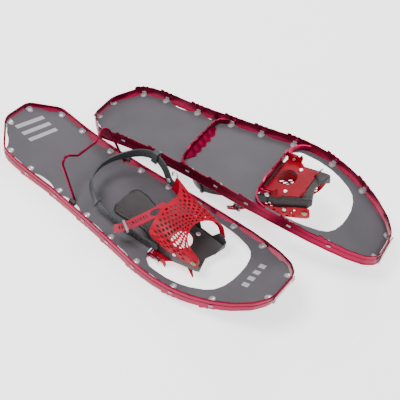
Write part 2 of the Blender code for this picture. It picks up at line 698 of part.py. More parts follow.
def strap_across(_):
    """The direction of the heel strap's width."""
    return (0.25, 0.0, 1.0)


def heel_strap(name, parent, press):
    """The stiff strap that loops behind the heel between its two anchors."""
    rings = band_rings(heel_path(press), lambda t: 0.016 + 0.004 * math.sin(math.pi * t),
                       STRAP_THICK, strap_across)
    return make_object(name, "dark_tpu", rings_solid(rings), parent)


def strap_frame(path, k):
    """Centre and orientation at a point of a strap: width, thickness, length."""
    along = (path[k + 1] - path[k - 1]).normalized()
    across = Vector(strap_across(k))
    across = (across - across.dot(along) * along).normalized()
    turn = Matrix((across, along.cross(across), along)).transposed()
    return path[k], turn


# ---- heel lifter ----------------------------------------------------------------
def heel_lifter(name, parent):
    """The wire bail: two legs and a dipped crossbar, drawn lying back and level."""
    x0, z0 = LIFTER_PIVOT
    half = [(x0, LIFTER_FOOT), (x0, 0.0690), (x0 - 0.075, 0.0620),
            (x0 - LIFTER_LEG, 0.0540), (x0 - LIFTER_LEG + 0.001, 0.0430), (x0 - LIFTER_DIP, 0.0240)]
    corners = [(x, y, z0) for x, y in half] + [(x, -y, z0) for x, y in reversed(half)]
    path = rounded(corners, 0.009, steps=4, closed=False)
    return make_object(name, "red_anodised", rings_solid(tube_rings(path, LIFTER_WIRE, 8)), parent, smooth=60)


def lifter_bracket(name, side, parent):
    """The dark pivot block inside the rail that holds one foot of the wire."""
    x0, z0 = LIFTER_PIVOT
    low_y, high_y = sorted((side * 0.0725, side * 0.0786))
    bm = slab((x0 - 0.0065, low_y, DECK_THICK / 2 + GAP), (x0 + 0.0065, high_y, z0 + 0.0060))
    item = make_object(name, "dark_tpu", bm, parent)
    drill(item, parent, (x0, side * 0.0755, z0), (0, side, 0), LIFTER_WIRE + GAP)
    return item


# ---- one shoe -------------------------------------------------------------------
def build_frame(side, base):
    """Everything that is fixed to the rail."""
    frame_rail(side + "_rail", base)
    deck(side + "_deck", base)
    front_crossbeam(side + "_front_crossbeam", base)
    rear_crossbeam(side + "_rear_crossbeam", base)
    nose_guard(side + "_nose_guard", base)
    for hand, name in ((1, "port"), (-1, "starboard")):
        pivot_pin(f"{side}_pivot_pin_{name}", hand, base)
        lifter_bracket(f"{side}_lifter_bracket_{name}", hand, base)


def build_binding(side, base, angle):
    """The binding, on an empty at its pivot, turned nose-down by an angle.

    It is drawn for the left foot and mirrored for the right one.
    """
    place = (PIVOT_X, 0.0, PIVOT_Z)
    pivot = empty(side + "_binding_pivot", place, base, place, mirrored=side == "right")
    pivot.rotation_euler = (0.0, angle, 0.0)
    crampon(side + "_crampon", pivot)
    footbed(side + "_footbed", pivot)
    toe_cradle(side + "_toe_cradle", pivot)
    toe_strap(side + "_toe_strap", pivot, 0.75 if side == "right" else 1.0)
    rivet_head(side + "_toe_bolt", pivot, (0.4796, -0.0405, 0.0310), (0.21, -0.978, 0), 0.0055, "brass")
    rivet_head(side + "_cradle_rivet", pivot, (0.4430, -0.0487, 0.0290), (0.21, -0.978, 0), 0.0036)
    for hand, name in ((1, "port"), (-1, "starboard")):
        binding_rivet(f"{side}_binding_rivet_{name}", hand, pivot)
    return pivot


def build_heel_strap(side, pivot, press):
    """The heel strap and what rides on it, on an empty at its anchor."""
    mirrored = pivot["mirrored"]
    place = Vector(STRAP_ANCHOR)
    if mirrored:
        place.y = -place.y
    hinge = empty(side + "_strap_hinge", place - Vector(pivot["anchor"]), pivot, place, mirrored)
    heel_strap(side + "_heel_strap", hinge, press)
    path = heel_path(press)
    centre, turn = strap_frame(path, BUCKLE_STEP)
    strap_keeper(side + "_heel_buckle", hinge, centre, BUCKLE_OPENING, "dark_tpu", turn)
    centre, turn = strap_frame(path, KEEPER_STEP)
    strap_keeper(side + "_heel_keeper", hinge, centre, KEEPER_OPENING, "dark_tpu", turn)
    centre, turn = strap_frame(path, RIVET_STEP)
    inner = turn.col[1]
    rivet_head(side + "_heel_rivet", hinge, centre + inner * (STRAP_THICK / 2 + GAP), inner, 0.0052)


def build_lifter(side, base, angle):
    """The heel lifter, on an empty at its pivot, turned up from the deck."""
    place = (LIFTER_PIVOT[0], 0.0, LIFTER_PIVOT[1])
    pivot = empty(side + "_lifter_pivot", place, base, place)
    pivot.rotation_euler = (0.0, angle, 0.0)
    heel_lifter(side + "_heel_lifter", pivot)


def build_shoe(side, base, binding_angle, strap_press, lifter_angle):
    """One whole shoe on its base empty."""
    build_frame(side, base)
    pivot = build_binding(side, base, binding_angle)
    build_heel_strap(side, pivot, strap_press)
    build_lifter(side, base, lifter_angle)


def lowest_point(base):
    """Lowest point of every visible part under an empty."""
    bpy.context.view_layer.update()
    graph = bpy.context.evaluated_depsgraph_get()
    low = math.inf
    for item in base.children_recursive:
        if item.type == "MESH" and not item.hide_render:
            shape = item.evaluated_get(graph)
            low = min(low, min((shape.matrix_world @ v.co).z for v in shape.data.vertices))
    return low


def recentre(pair):
    """Move the whole pair so that the middle of its plan lies at the origin."""
    bpy.context.view_layer.update()
    graph = bpy.context.evaluated_depsgraph_get()
    corners = []
    for item in pair.children_recursive:
        if item.type == "MESH" and not item.hide_render:
            shape = item.evaluated_get(graph)
            corners += [shape.matrix_world @ v.co for v in shape.data.vertices]
    for axis in (0, 1):
        values = [p[axis] for p in corners]
        pair.location[axis] = -(min(values) + max(values)) / 2


def overturned_pitch():
    """Pitch at which the overturned shoe rests on its tail and on its cradle."""
    tab = Vector((0.358, 0.0, 0.0840)) - Vector((PIVOT_X, 0.0, PIVOT_Z))
    turn = Matrix.Rotation(OVERTURNED_BINDING, 3, "Y")
    tab = turn @ tab + Vector((PIVOT_X, 0.0, PIVOT_Z))
    tail = deck_height(0.0) + RAIL_TOP
    return math.atan2(tab.z - tail, tab.x)


def main():
    """Build the standing shoe, then the overturned one beside it."""
    clear_scene()
    pair = empty("pair", (0, 0, 0), None)
    upright = empty("left_base", (0, 0, 0), pair)
    build_shoe("left", upright, 0.0, 1.0, LIFTER_RAISED)
    upright.location.z = -lowest_point(upright)
    over = empty("right_base", (*OVERTURNED_ORIGIN, 0.0), pair)
    build_shoe("right", over, OVERTURNED_BINDING, OVERTURNED_PRESS, LIFTER_FOLDED)
    over.rotation_euler = (math.pi, -overturned_pitch(), OVERTURNED_YAW)
    over.location.z = -lowest_point(over)
    recentre(pair)


main()
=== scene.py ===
"""The looks of a pair of technical snowshoes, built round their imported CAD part.

Each shoe is drawn in its own frame: X from the tail to the nose, Y to the shoe's left
and Z up from the middle of the deck.  A Placement then carries the finished mesh to
where the shoe lies.  Lengths are in metres.
"""

import logging
import math
from dataclasses import dataclass, field
from enum import Enum
from typing import Callable, Iterable, Sequence

import bmesh
import bpy
from mathutils import Euler, Matrix, Vector


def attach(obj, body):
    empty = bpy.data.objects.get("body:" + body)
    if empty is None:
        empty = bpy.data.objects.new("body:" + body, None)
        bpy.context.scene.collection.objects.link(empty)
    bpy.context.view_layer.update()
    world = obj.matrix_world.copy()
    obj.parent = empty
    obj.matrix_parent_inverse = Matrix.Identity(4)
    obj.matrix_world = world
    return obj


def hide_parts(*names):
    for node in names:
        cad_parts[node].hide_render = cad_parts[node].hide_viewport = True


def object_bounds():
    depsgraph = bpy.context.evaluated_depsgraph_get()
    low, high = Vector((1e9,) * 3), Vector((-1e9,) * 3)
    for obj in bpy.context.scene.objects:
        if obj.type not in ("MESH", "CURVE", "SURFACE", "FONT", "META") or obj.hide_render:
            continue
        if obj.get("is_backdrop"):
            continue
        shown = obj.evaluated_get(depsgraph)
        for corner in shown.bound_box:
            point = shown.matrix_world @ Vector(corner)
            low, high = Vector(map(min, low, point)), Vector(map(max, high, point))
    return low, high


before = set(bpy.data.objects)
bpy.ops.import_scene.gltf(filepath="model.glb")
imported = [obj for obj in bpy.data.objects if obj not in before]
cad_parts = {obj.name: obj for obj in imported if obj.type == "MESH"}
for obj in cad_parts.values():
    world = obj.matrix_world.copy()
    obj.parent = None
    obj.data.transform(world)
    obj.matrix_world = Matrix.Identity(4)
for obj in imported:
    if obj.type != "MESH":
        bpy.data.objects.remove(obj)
LOG = logging.getLogger("snowshoes")
Point = Sequence[float]
Place = Callable[[float, float, float], Vector]
Shape, Mesh, Tree = bmesh.types.BMesh, bpy.types.Mesh, bpy.types.NodeTree


class Side(Enum):
    """Which shoe of the pair."""

    LEFT = "left"
    RIGHT = "right"


# ---- sizes shared by several pieces ---------------------------------------------
LENGTH = 0.635
NOSE_RISE, NOSE_RUN = 0.073, 0.242
TAIL_RISE, TAIL_RUN = 0.024, 0.150
PIVOT = Vector((0.4145, 0.0, -0.0060))
LIFTER_PIVOT = Vector((0.2245, 0.0, 0.0042))
DECK_THICK = 0.0012
RAIL_THICK = 0.0032
OUTLINE = (
    (0.000, 0.0305), (0.047, 0.0790), (0.080, 0.0805), (0.170, 0.0795), (0.260, 0.0860),
    (0.325, 0.0920), (0.393, 0.1000), (0.440, 0.1015), (0.478, 0.0995), (0.515, 0.0945),
    (0.551, 0.0855), (0.585, 0.0730), (0.615, 0.0560), (0.635, 0.0330),
)
CLIP_X = (0.0525, 0.1105, 0.1850, 0.2605, 0.3250, 0.3935, 0.4785, 0.5515)
TOE_HOLE = (
    (0.3935, 0.0), (0.3935, 0.056), (0.3995, 0.070), (0.4155, 0.0815), (0.4545, 0.0820),
    (0.4820, 0.0785), (0.5000, 0.0740), (0.5250, 0.0640), (0.5385, 0.0540),
    (0.5465, 0.0400), (0.5515, 0.0200), (0.5525, 0.0),
)


def deck_height(x: float) -> float:
    """Find how high the deck's middle lies.

    Args:
        x: where along the shoe.

    Returns:
        Its height, which rises to the nose and to the tail.
    """
    nose = max(0.0, (x - LENGTH + NOSE_RUN) / NOSE_RUN)
    tail = max(0.0, 1.0 - x / TAIL_RUN)
    return NOSE_RISE * nose ** 2 + TAIL_RISE * tail ** 2.5


def on_deck(x: float, y: float, height: float) -> Vector:
    """A point at a height above the deck's middle."""
    return Vector((x, y, deck_height(x) + height))


# ---- finishes -------------------------------------------------------------------
def add_node(tree: Tree, kind: str, inputs: dict | None = None,
             **settings: object) -> bpy.types.Node:
    """Add a node to a shader or geometry tree.

    Args:
        tree: the tree.
        kind: the node's type.
        inputs: a value, or a socket to link, for each input by its name or number.
        settings: the node's own options.

    Returns:
        The new node.
    """
    node = tree.nodes.new(kind)
    for key, value in settings.items():
        setattr(node, key, value)
    for key, value in (inputs or {}).items():
        if isinstance(value, bpy.types.NodeSocket):
            tree.links.new(value, node.inputs[key])
        else:
            node.inputs[key].default_value = value
    return node


def linear(code: str) -> tuple[float, float, float, float]:
    """An sRGB hex colour as linear RGBA."""
    parts = [int(code[k:k + 2], 16) / 255 for k in (1, 3, 5)]
    return (*[c / 12.92 if c <= 0.04045 else ((c + 0.055) / 1.055) ** 2.4 for c in parts], 1.0)


class Pattern(Enum):
    """The surface patterns that a finish may have."""

    PLAIN = "plain"
    GRAIN = "grain"
    WEAVE = "weave"
    RIBS = "ribs"


WAVE = 0.314      # the wave texture repeats every 2 pi / 20 units at a scale of 1
PATCH = 0.0625    # size of the patches of darker colour, in metres


@dataclass(frozen=True)
class Finish:
    """One procedural material.

    Args:
        name: what the material is.
        colour: its sRGB colour.
        shade: the sRGB colour of its darker patches.
        roughness: of the surface, 0 to 1.
        metallic: 0 or 1, or between for coloured metal.
        pattern: what gives it its relief.
        pitch: size of the pattern, in metres.
        relief: depth of the pattern, in metres.
        glow_through: share of light that passes through.
        sheen: strength of its mirror-like reflection, 0.5 for most plastics.
        glow: light that the surface gives off itself.
    """

    name: str
    colour: str
    shade: str
    roughness: float = 0.5
    metallic: float = 0.0
    pattern: Pattern = Pattern.GRAIN
    pitch: float = 0.001
    relief: float = 0.00002
    glow_through: float = 0.0
    sheen: float = 0.5
    glow: float = 0.0

    def texture(self, tree: Tree, place: bpy.types.NodeSocket) -> bpy.types.NodeSocket:
        """Add the nodes of the finish's relief.

        Args:
            tree: the material's nodes.
            place: where on the piece, in metres.

        Returns:
            The relief's height, from 0 to 1.
        """
        if self.pattern is Pattern.GRAIN:
            return add_node(tree, "ShaderNodeTexNoise", {
                "Scale": 1.0 / self.pitch, "Detail": 3.0, "Vector": place}).outputs["Fac"]
        waves = [add_node(tree, "ShaderNodeTexWave", {"Scale": WAVE / self.pitch, "Vector": place},
                          bands_direction=way).outputs["Fac"]
                 for way in (("X", "Y") if self.pattern is Pattern.WEAVE else ("Y",))]
        if self.pattern is Pattern.RIBS:
            return waves[0]
        return add_node(tree, "ShaderNodeMath", dict(enumerate(waves)),
                        operation="MULTIPLY").outputs[0]

    def build(self) -> bpy.types.Material:
        """Make the material.

        Returns:
            The new material, with its nodes linked.
        """
        material = bpy.data.materials.new(self.name)
        material.use_nodes = True
        tree = material.node_tree
        shader = tree.nodes["Principled BSDF"]
        for key, value in (("Roughness", self.roughness), ("Metallic", self.metallic),
                           ("Specular IOR Level", self.sheen),
                           ("Transmission Weight", self.glow_through),
                           ("Emission Color", linear(self.colour)),
                           ("Emission Strength", self.glow)):
            shader.inputs[key].default_value = value
        place = add_node(tree, "ShaderNodeTexCoord").outputs["Object"]
        patches = add_node(tree, "ShaderNodeTexNoise", {
            "Scale": 1.0 / PATCH, "Detail": 2.0, "Vector": place})
        ramp = add_node(tree, "ShaderNodeValToRGB", {"Fac": patches.outputs["Fac"]})
        stops = ramp.color_ramp.elements
        stops[0].position, stops[0].color = 0.35, linear(self.shade)
        stops[1].position, stops[1].color = 0.65, linear(self.colour)
        tree.links.new(ramp.outputs["Color"], shader.inputs["Base Color"])
        if self.pattern is not Pattern.PLAIN:
            bump = add_node(tree, "ShaderNodeBump", {
                "Distance": self.relief, "Strength": 1.0, "Height": self.texture(tree, place)})
            tree.links.new(bump.outputs["Normal"], shader.inputs["Normal"])
        return material


# Each line: what it is, colour, darker colour, then the surface.
FINISHES = {
    # raspberry anodised aluminium of the rail, beams and heel lifter
    "rail": Finish("anodised_aluminium", "#8a0034", "#7c002e", 0.36, 0.85, relief=0.00001,
                   sheen=0.3),
    # coated fabric from above: its fine weave is drawn 1.1 mm apart, as coarse as it shows
    "deck_top": Finish("coated_fabric_top", "#534f55", "#4d4a4f", 0.62, pattern=Pattern.WEAVE,
                       pitch=0.0011, relief=0.00005),
    # and its slightly darker underside
    "deck_under": Finish("coated_fabric_underside", "#302f34", "#2b2a2f", 0.66,
                         pattern=Pattern.WEAVE, pitch=0.0011, relief=0.00005),
    # powder-coated steel of the crampon
    "crampon": Finish("powder_coated_steel", "#98001e", "#860018", 0.45, sheen=0.15),
    # moulded flexible plastic of the cradle
    "cradle": Finish("moulded_red_plastic", "#ac0026", "#9c0020", 0.42, sheen=0.15),
    # the paler, slightly pinkish plastic of the toe strap
    "toe_strap": Finish("pale_red_plastic", "#a81638", "#9a1230", 0.42, sheen=0.2),
    # dark plastic of the tray, with moulded ribs 4 mm apart
    "tray": Finish("moulded_dark_plastic", "#332e30", "#2d282a", 0.55, pattern=Pattern.RIBS,
                   pitch=0.004, relief=0.00025),
    # dark plastic of the heel strap and buckles
    "dark": Finish("dark_strap_plastic", "#35383a", "#2d3032", 0.55, relief=0.00003),
    # zinc-plated steel of the rivets and pins
    "steel": Finish("plated_steel", "#eceded", "#e0e1e2", 0.32, 0.85, relief=0.00001),
    # aged brass of the toe bolt
    "brass": Finish("aged_brass", "#958a62", "#7d724e", 0.38, 1.0),
    # translucent white plastic of the deck clips
    "clip": Finish("translucent_white_plastic", "#a8a2a7", "#9f999e", 0.3,
                   glow_through=0.25),
    # clear pinkish plastic over the nose
    "guard": Finish("clear_pink_plastic", "#dc9aa6", "#d08c9a", 0.25, pattern=Pattern.PLAIN,
                    glow_through=0.45),
    # pale ink of the generic marks on the deck
    "ink": Finish("pale_ink", "#a9a6aa", "#a19ea2", 0.5, pattern=Pattern.PLAIN),
    # pale studio floor
    "floor": Finish("studio_floor", "#ffffff", "#fdfdfd", 0.8, pattern=Pattern.PLAIN, glow=1.5),
}


class Palette:
    """Makes each finish once and hands it out by key."""

    def __init__(self) -> None:
        """Start with no finish made."""
        self.made: dict[str, bpy.types.Material] = {}

    def __getitem__(self, key: str) -> bpy.types.Material:
        """The material of a finish."""
        if key not in self.made:
            self.made[key] = FINISHES[key].build()
        return self.made[key]


# ---- lines and meshes -----------------------------------------------------------
def rounded(points: Sequence[Point], radius: float, steps: int = 5,
            closed: bool = True) -> list[Vector]:
    """Round the corners of a polyline.

    Args:
        points: its corners.
        radius: of the arcs.
        steps: how finely each arc is drawn, per 60 degrees.
        closed: whether the last corner joins the first.

    Returns:
        The points of the rounded line.
    """
    result = []
    for i, place in enumerate(points):
        corner = Vector(place)
        if not closed and i in (0, len(points) - 1):
            result.append(corner)
            continue
        before = Vector(points[i - 1]) - corner
        after = Vector(points[(i + 1) % len(points)]) - corner
        turn = math.pi - before.angle(after)
        if turn < math.radians(1.0):
            result.append(corner)
            continue
        reach = min(radius * math.tan(turn / 2), 0.46 * before.length, 0.46 * after.length)
        start, end = corner + before.normalized() * reach, corner + after.normalized() * reach
        arcs = max(2, math.ceil(steps * turn / math.radians(60)))
        result += [(1 - t) ** 2 * start + 2 * t * (1 - t) * corner + t ** 2 * end
                   for t in (k / arcs for k in range(arcs + 1))]
    return result


def smooth_path(points: Iterable[Point], per_span: int = 5) -> list[Vector]:
    """Draw a Catmull-Rom curve.

    Args:
        points: what it passes through.
        per_span: how many points are made for each span between two of them.

    Returns:
        The points of the curve.
    """
    line = [Vector(p) for p in points]
    padded = [2 * line[0] - line[1]] + line + [2 * line[-1] - line[-2]]
    result = []
    for a, b, c, d in zip(padded, padded[1:], padded[2:], padded[3:]):
        for k in range(per_span):
            t = k / per_span
            result.append(0.5 * (2 * b + (c - a) * t + (2 * a - 5 * b + 4 * c - d) * t ** 2
                                 + (3 * b - 3 * c + d - a) * t ** 3))
    return result + [line[-1]]


def inward(loop: Sequence[Vector], k: int) -> Vector:
    """The direction into a clockwise loop at one of its points."""
    along = (loop[(k + 1) % len(loop)] - loop[k - 1]).normalized()
    return Vector((along.y, -along.x))


def skin(rings: Sequence[Sequence[Point]], closed: bool = False) -> Shape:
    """Skin a solid over rings of points.

    Args:
        rings: the rings, each with as many points as the others.
        closed: whether the last ring joins the first, instead of both being capped.

    Returns:
        The solid.
    """
    bm = bmesh.new()
    loops = [[bm.verts.new(p) for p in ring] for ring in rings]
    for near, far in zip(loops, loops[1:] + loops[:1] if closed else loops[1:]):
        for k in range(len(near)):
            j = (k + 1) % len(near)
            bm.faces.new((near[k], near[j], far[j], far[k]))
    if not closed:
        bm.faces.new(loops[0])
        bm.faces.new(loops[-1])
    return bm


def tube(path: Sequence[Vector], radius: float, sides: int = 16) -> Shape:
    """Make a round bar.

    Args:
        path: its middle line.
        radius: of the bar.
        sides: how many flats it is drawn with.

    Returns:
        The bar.
    """
    rings, side = [], None
    for k, point in enumerate(path):
        along = (path[min(k + 1, len(path) - 1)] - path[max(k - 1, 0)]).normalized()
        side = along.orthogonal() if side is None else side
        side = (side - side.dot(along) * along).normalized()
        up = along.cross(side)
        rings.append([point + radius * (math.cos(a) * side + math.sin(a) * up)
                      for a in (2 * math.pi * s / sides for s in range(sides))])
    return skin(rings)


def turned(profile: Sequence[tuple[float, float]], steps: int = 20) -> Shape:
    """A solid turned about Z from (height, radius) pairs."""
    return skin([[(r * math.cos(a), r * math.sin(a), z)
                  for a in (2 * math.pi * s / steps for s in range(steps))] for z, r in profile])


def settle(shape: Shape, name: str) -> Mesh:
    """Turn a shape into a mesh.

    Args:
        shape: the shape, which is freed.
        name: of the mesh.

    Returns:
        The mesh.
    """
    mesh = bpy.data.meshes.new(name)
    shape.to_mesh(mesh)
    shape.free()
    return mesh


def show(name: str, data: bpy.types.ID) -> bpy.types.Object:
    """Put a new object in the scene.

    Args:
        name: of the object.
        data: its mesh, lamp or camera.

    Returns:
        The object.
    """
    item = bpy.data.objects.new(name, data)
    bpy.context.scene.collection.objects.link(item)
    return item


def finished(item: bpy.types.Object) -> Mesh:
    """Apply an object's modifiers.

    Args:
        item: the object, which is removed.

    Returns:
        Its plain mesh.
    """
    graph = bpy.context.evaluated_depsgraph_get()
    result = bpy.data.meshes.new_from_object(item.evaluated_get(graph))
    bpy.data.objects.remove(item)
    return result


def join(parts: Iterable[Shape]) -> Shape:
    """Put several shapes in one.

    Args:
        parts: the shapes, which are freed.

    Returns:
        The whole.
    """
    whole = bmesh.new()
    for part in parts:
        mesh = settle(part, "part")
        whole.from_mesh(mesh)
        bpy.data.meshes.remove(mesh)
    return whole


def slice_across(bm: Shape, normal: Point, cuts: Iterable[float]) -> None:
    """Cut a flat shape across a direction, so that it can bend at the cuts.

    Args:
        bm: the shape, changed in place.
        normal: the direction.
        cuts: how far along it each cut is.
    """
    for cut in cuts:
        bmesh.ops.bisect_plane(bm, geom=bm.verts[:] + bm.edges[:] + bm.faces[:], dist=1e-6,
                               plane_co=Vector(normal) * cut, plane_no=normal)


def thicken(bm: Shape, low: float, high: float, place: Place) -> set:
    """Make a flat shape solid and bend it.

    Args:
        bm: the shape, changed in place.
        low: height of its lower face.
        high: height of its upper face.
        place: carries (x, y, height) to where the point lies.

    Returns:
        The vertices of the upper face.
    """
    top = bmesh.ops.extrude_face_region(bm, geom=list(bm.faces))
    raised = {v for v in top["geom"] if isinstance(v, bmesh.types.BMVert)}
    for vert in bm.verts:
        vert.co = place(vert.co.x, vert.co.y, high if vert in raised else low)
    return raised


def slab(outline: Sequence[Point], low: float, high: float, bevel: float) -> Shape:
    """Make a flat plate with bevelled rims.

    Args:
        outline: its edge.
        low: height of its lower face.
        high: height of its upper face.
        bevel: width of the bevels.

    Returns:
        The plate.
    """
    bm = bmesh.new()
    bm.faces.new([bm.verts.new((p[0], p[1], 0.0)) for p in outline])
    thicken(bm, low, high, lambda x, y, z: Vector((x, y, z)))
    rims = [e for e in bm.edges if abs(e.verts[0].co.z - e.verts[1].co.z) < 1e-7]
    bmesh.ops.bevel(bm, geom=rims, offset=bevel, segments=2, affect="EDGES", profile=0.5)
    return bm


def block(low: Point, high: Point, bevel: float) -> Shape:
    """Make a box with rounded edges.

    Args:
        low: its lowest corner.
        high: its highest corner.
        bevel: width of the rounding.

    Returns:
        The box.
    """
    bm = bmesh.new()
    size, middle = Vector(high) - Vector(low), (Vector(high) + Vector(low)) / 2
    bmesh.ops.create_cube(bm, size=1.0,
                          matrix=Matrix.Translation(middle) @ Matrix.Diagonal((*size, 1)))
    bmesh.ops.bevel(bm, geom=list(bm.edges), offset=bevel, segments=3, affect="EDGES", profile=0.5)
    return bm


# ---- placing and registering ----------------------------------------------------
class Body(Enum):
    """The bodies of a shoe."""

    FRAME = "frame"
    BINDING = "binding"
    HEEL_LOOP = "heel_loop"
    LIFTER = "lifter"


@dataclass(frozen=True)
class Placement:
    """Where one shoe lies, and how its binding is turned on it.

    Args:
        side: which shoe.
        location: of its tail in the shared frame.
        rotation: its XYZ Euler angles.
        binding_turn: how far its binding is turned, nose down.
        lifter_turn: how far its heel lifter is turned up.
        strap_press: the share that is left of its heel strap's rise.
        toe_tuck: the share that is left of its toe strap's reach.
    """

    side: Side
    location: tuple[float, float, float]
    rotation: tuple[float, float, float] = (0.0, 0.0, 0.0)
    binding_turn: float = 0.0
    lifter_turn: float = 0.0
    strap_press: float = 1.0
    toe_tuck: float = 1.0

    @property
    def mirrored(self) -> bool:
        """The right foot's binding is the mirror image of the left one's."""
        return self.side is Side.RIGHT

    def base(self) -> Matrix:
        """From the shoe's frame to the shared one."""
        return Matrix.Translation(self.location) @ Euler(self.rotation).to_matrix().to_4x4()

    def about(self, centre: Vector, angle: float) -> Matrix:
        """From the frame of what turns about Y through a centre to the shared one."""
        there = Matrix.Translation(centre)
        return self.base() @ there @ Matrix.Rotation(angle, 4, "Y") @ there.inverted()

    def of(self, body: Body) -> Matrix:
        """Find where a body lies at rest.

        Args:
            body: the body.

        Returns:
            The transform from the frame that its pieces are drawn in to the shared one.
        """
        if body is Body.FRAME:
            return self.base()
        if body is Body.LIFTER:
            return self.about(LIFTER_PIVOT, self.lifter_turn)
        mirror = Matrix.Diagonal((1, -1, 1, 1)) if self.mirrored else Matrix.Identity(4)
        return self.about(PIVOT, self.binding_turn) @ mirror


LEFT = Placement(Side.LEFT, (-0.364535, -0.101012, 0.021), lifter_turn=math.radians(59))
RIGHT = Placement(Side.RIGHT, (-0.276535, 0.052288, 0.034113), (math.pi, -0.155015, 0.10821),
                  binding_turn=math.radians(8), lifter_turn=math.radians(1), strap_press=0.15,
                  toe_tuck=0.75)


@dataclass
class Maker:
    """Turns shapes into finished pieces of one shoe."""

    placement: Placement
    palette: Palette
    count: int = 0

    def piece(self, name: str, shape: Shape | Mesh, body: Body,
              finishes: Sequence[str], replaces: str = "", slot: str = "",
              smooth: float = 40.0) -> bpy.types.Object:
        """Register one finished piece.

        Args:
            name: of the piece, without its side.
            shape: its mesh in the frame that its body is drawn in.
            body: what it moves with.
            finishes: keys of its materials, by material index.
            replaces: the CAD node it stands for, without its side.
            slot: not used.
            smooth: edges sharper than this angle stay sharp, in degrees.

        Returns:
            The object, at the origin, with its place in its mesh.
        """
        side = self.placement.side.value
        bm = shape
        if isinstance(shape, Mesh):
            bm = bmesh.new()
            bm.from_mesh(shape)
        bmesh.ops.recalc_face_normals(bm, faces=bm.faces)
        name, to_world = f"{side}_{name}", self.placement.of(body)
        bm.transform(to_world)
        if to_world.determinant() < 0:
            bmesh.ops.reverse_faces(bm, faces=bm.faces)
        mesh = settle(bm, name)
        mesh.materials.clear()
        for key in finishes:
            mesh.materials.append(self.palette[key])
        mesh.shade_smooth()
        mesh.set_sharp_from_angle(angle=math.radians(smooth))
        item = show(name, mesh)
        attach(item, f"{side}_{body.value}")
        if replaces:
            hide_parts(f"{side}_{replaces}")
        self.count += 1
        LOG.info("%s: %d faces", name, len(mesh.polygons))
        return item


@dataclass
class Assembly:
    """A sub-assembly, which hands its pieces to the shoe's maker."""

    maker: Maker


# ---- geometry nodes -------------------------------------------------------------
def new_group(name: str, inputs: Sequence[tuple[str, str]]) -> tuple:
    """An empty geometry node group with named inputs.

    Args:
        name: of the group.
        inputs: (label, socket type) pairs, after the geometry.

    Returns:
        The group, the outputs of its input node and its output node.
    """
    group = bpy.data.node_groups.new(name, "GeometryNodeTree")
    for label, kind in (("Geometry", "NodeSocketGeometry"), *inputs):
        group.interface.new_socket(label, in_out="INPUT", socket_type=kind)
    group.interface.new_socket("Geometry", in_out="OUTPUT", socket_type="NodeSocketGeometry")
    return group, add_node(group, "NodeGroupInput").outputs, add_node(group, "NodeGroupOutput")


def repeat_group() -> Tree:
    """Build the group that puts one object at every point, turned by an attribute.

    Returns:
        The group.
    """
    group, given, sink = new_group("repeat_on_points", (
        ("Part", "NodeSocketObject"), ("Finish", "NodeSocketMaterial")))
    part = add_node(group, "GeometryNodeObjectInfo", {"Object": given["Part"]})
    turn = add_node(group, "GeometryNodeInputNamedAttribute", {"Name": "turn"},
                    data_type="FLOAT_VECTOR")
    placed = add_node(group, "GeometryNodeInstanceOnPoints", {
        "Points": given["Geometry"], "Instance": part.outputs["Geometry"],
        "Rotation": turn.outputs["Attribute"]})
    real = add_node(group, "GeometryNodeRealizeInstances", {
        "Geometry": placed.outputs["Instances"]})
    done = add_node(group, "GeometryNodeSetMaterial", {
        "Geometry": real.outputs["Geometry"], "Material": given["Finish"]})
    group.links.new(done.outputs["Geometry"], sink.inputs["Geometry"])
    return group


def cut_group() -> Tree:
    """Build the group that fills an outline and leaves a hole at every loose point.

    Returns:
        The group.
    """
    group, given, sink = new_group("cut_sheet", (("Finish", "NodeSocketMaterial"),))
    near = add_node(group, "GeometryNodeInputMeshVertexNeighbors")
    # inputs 2 and 3 are the two whole numbers that are compared
    loose = add_node(group, "FunctionNodeCompare", {2: near.outputs["Vertex Count"], 3: 0},
                     data_type="INT", operation="EQUAL")
    split = add_node(group, "GeometryNodeSeparateGeometry", {
        "Geometry": given["Geometry"], "Selection": loose.outputs["Result"]}, domain="POINT")
    edge = add_node(group, "GeometryNodeMeshToCurve", {"Mesh": split.outputs["Inverted"]})
    ring = add_node(group, "GeometryNodeCurvePrimitiveCircle", {"Resolution": 12, "Radius": 1.0})
    size = add_node(group, "GeometryNodeInputNamedAttribute", {"Name": "size"},
                    data_type="FLOAT_VECTOR")
    holes = add_node(group, "GeometryNodeInstanceOnPoints", {
        "Points": split.outputs["Selection"], "Instance": ring.outputs["Curve"],
        "Scale": size.outputs["Attribute"]})
    real = add_node(group, "GeometryNodeRealizeInstances", {
        "Geometry": holes.outputs["Instances"]})
    both = add_node(group, "GeometryNodeJoinGeometry", {"Geometry": real.outputs["Geometry"]})
    group.links.new(edge.outputs["Curve"], both.inputs["Geometry"])
    filled = add_node(group, "GeometryNodeFillCurve", {"Curve": both.outputs["Geometry"]})
    done = add_node(group, "GeometryNodeSetMaterial", {
        "Geometry": filled.outputs["Mesh"], "Material": given["Finish"]})
    group.links.new(done.outputs["Geometry"], sink.inputs["Geometry"])
    return group


def run_group(group: Tree, mesh: Mesh, values: dict[str, object]) -> Mesh:
    """Run a node group on a mesh.

    Args:
        group: the node group.
        mesh: what it works on.
        values: its inputs by label.

    Returns:
        A plain mesh.
    """
    item = show("work", mesh)
    nodes = item.modifiers.new("nodes", "NODES")
    nodes.node_group = group
    for socket in group.interface.items_tree:
        if socket.in_out == "INPUT" and socket.name in values:
            nodes[socket.identifier] = values[socket.name]
    return finished(item)


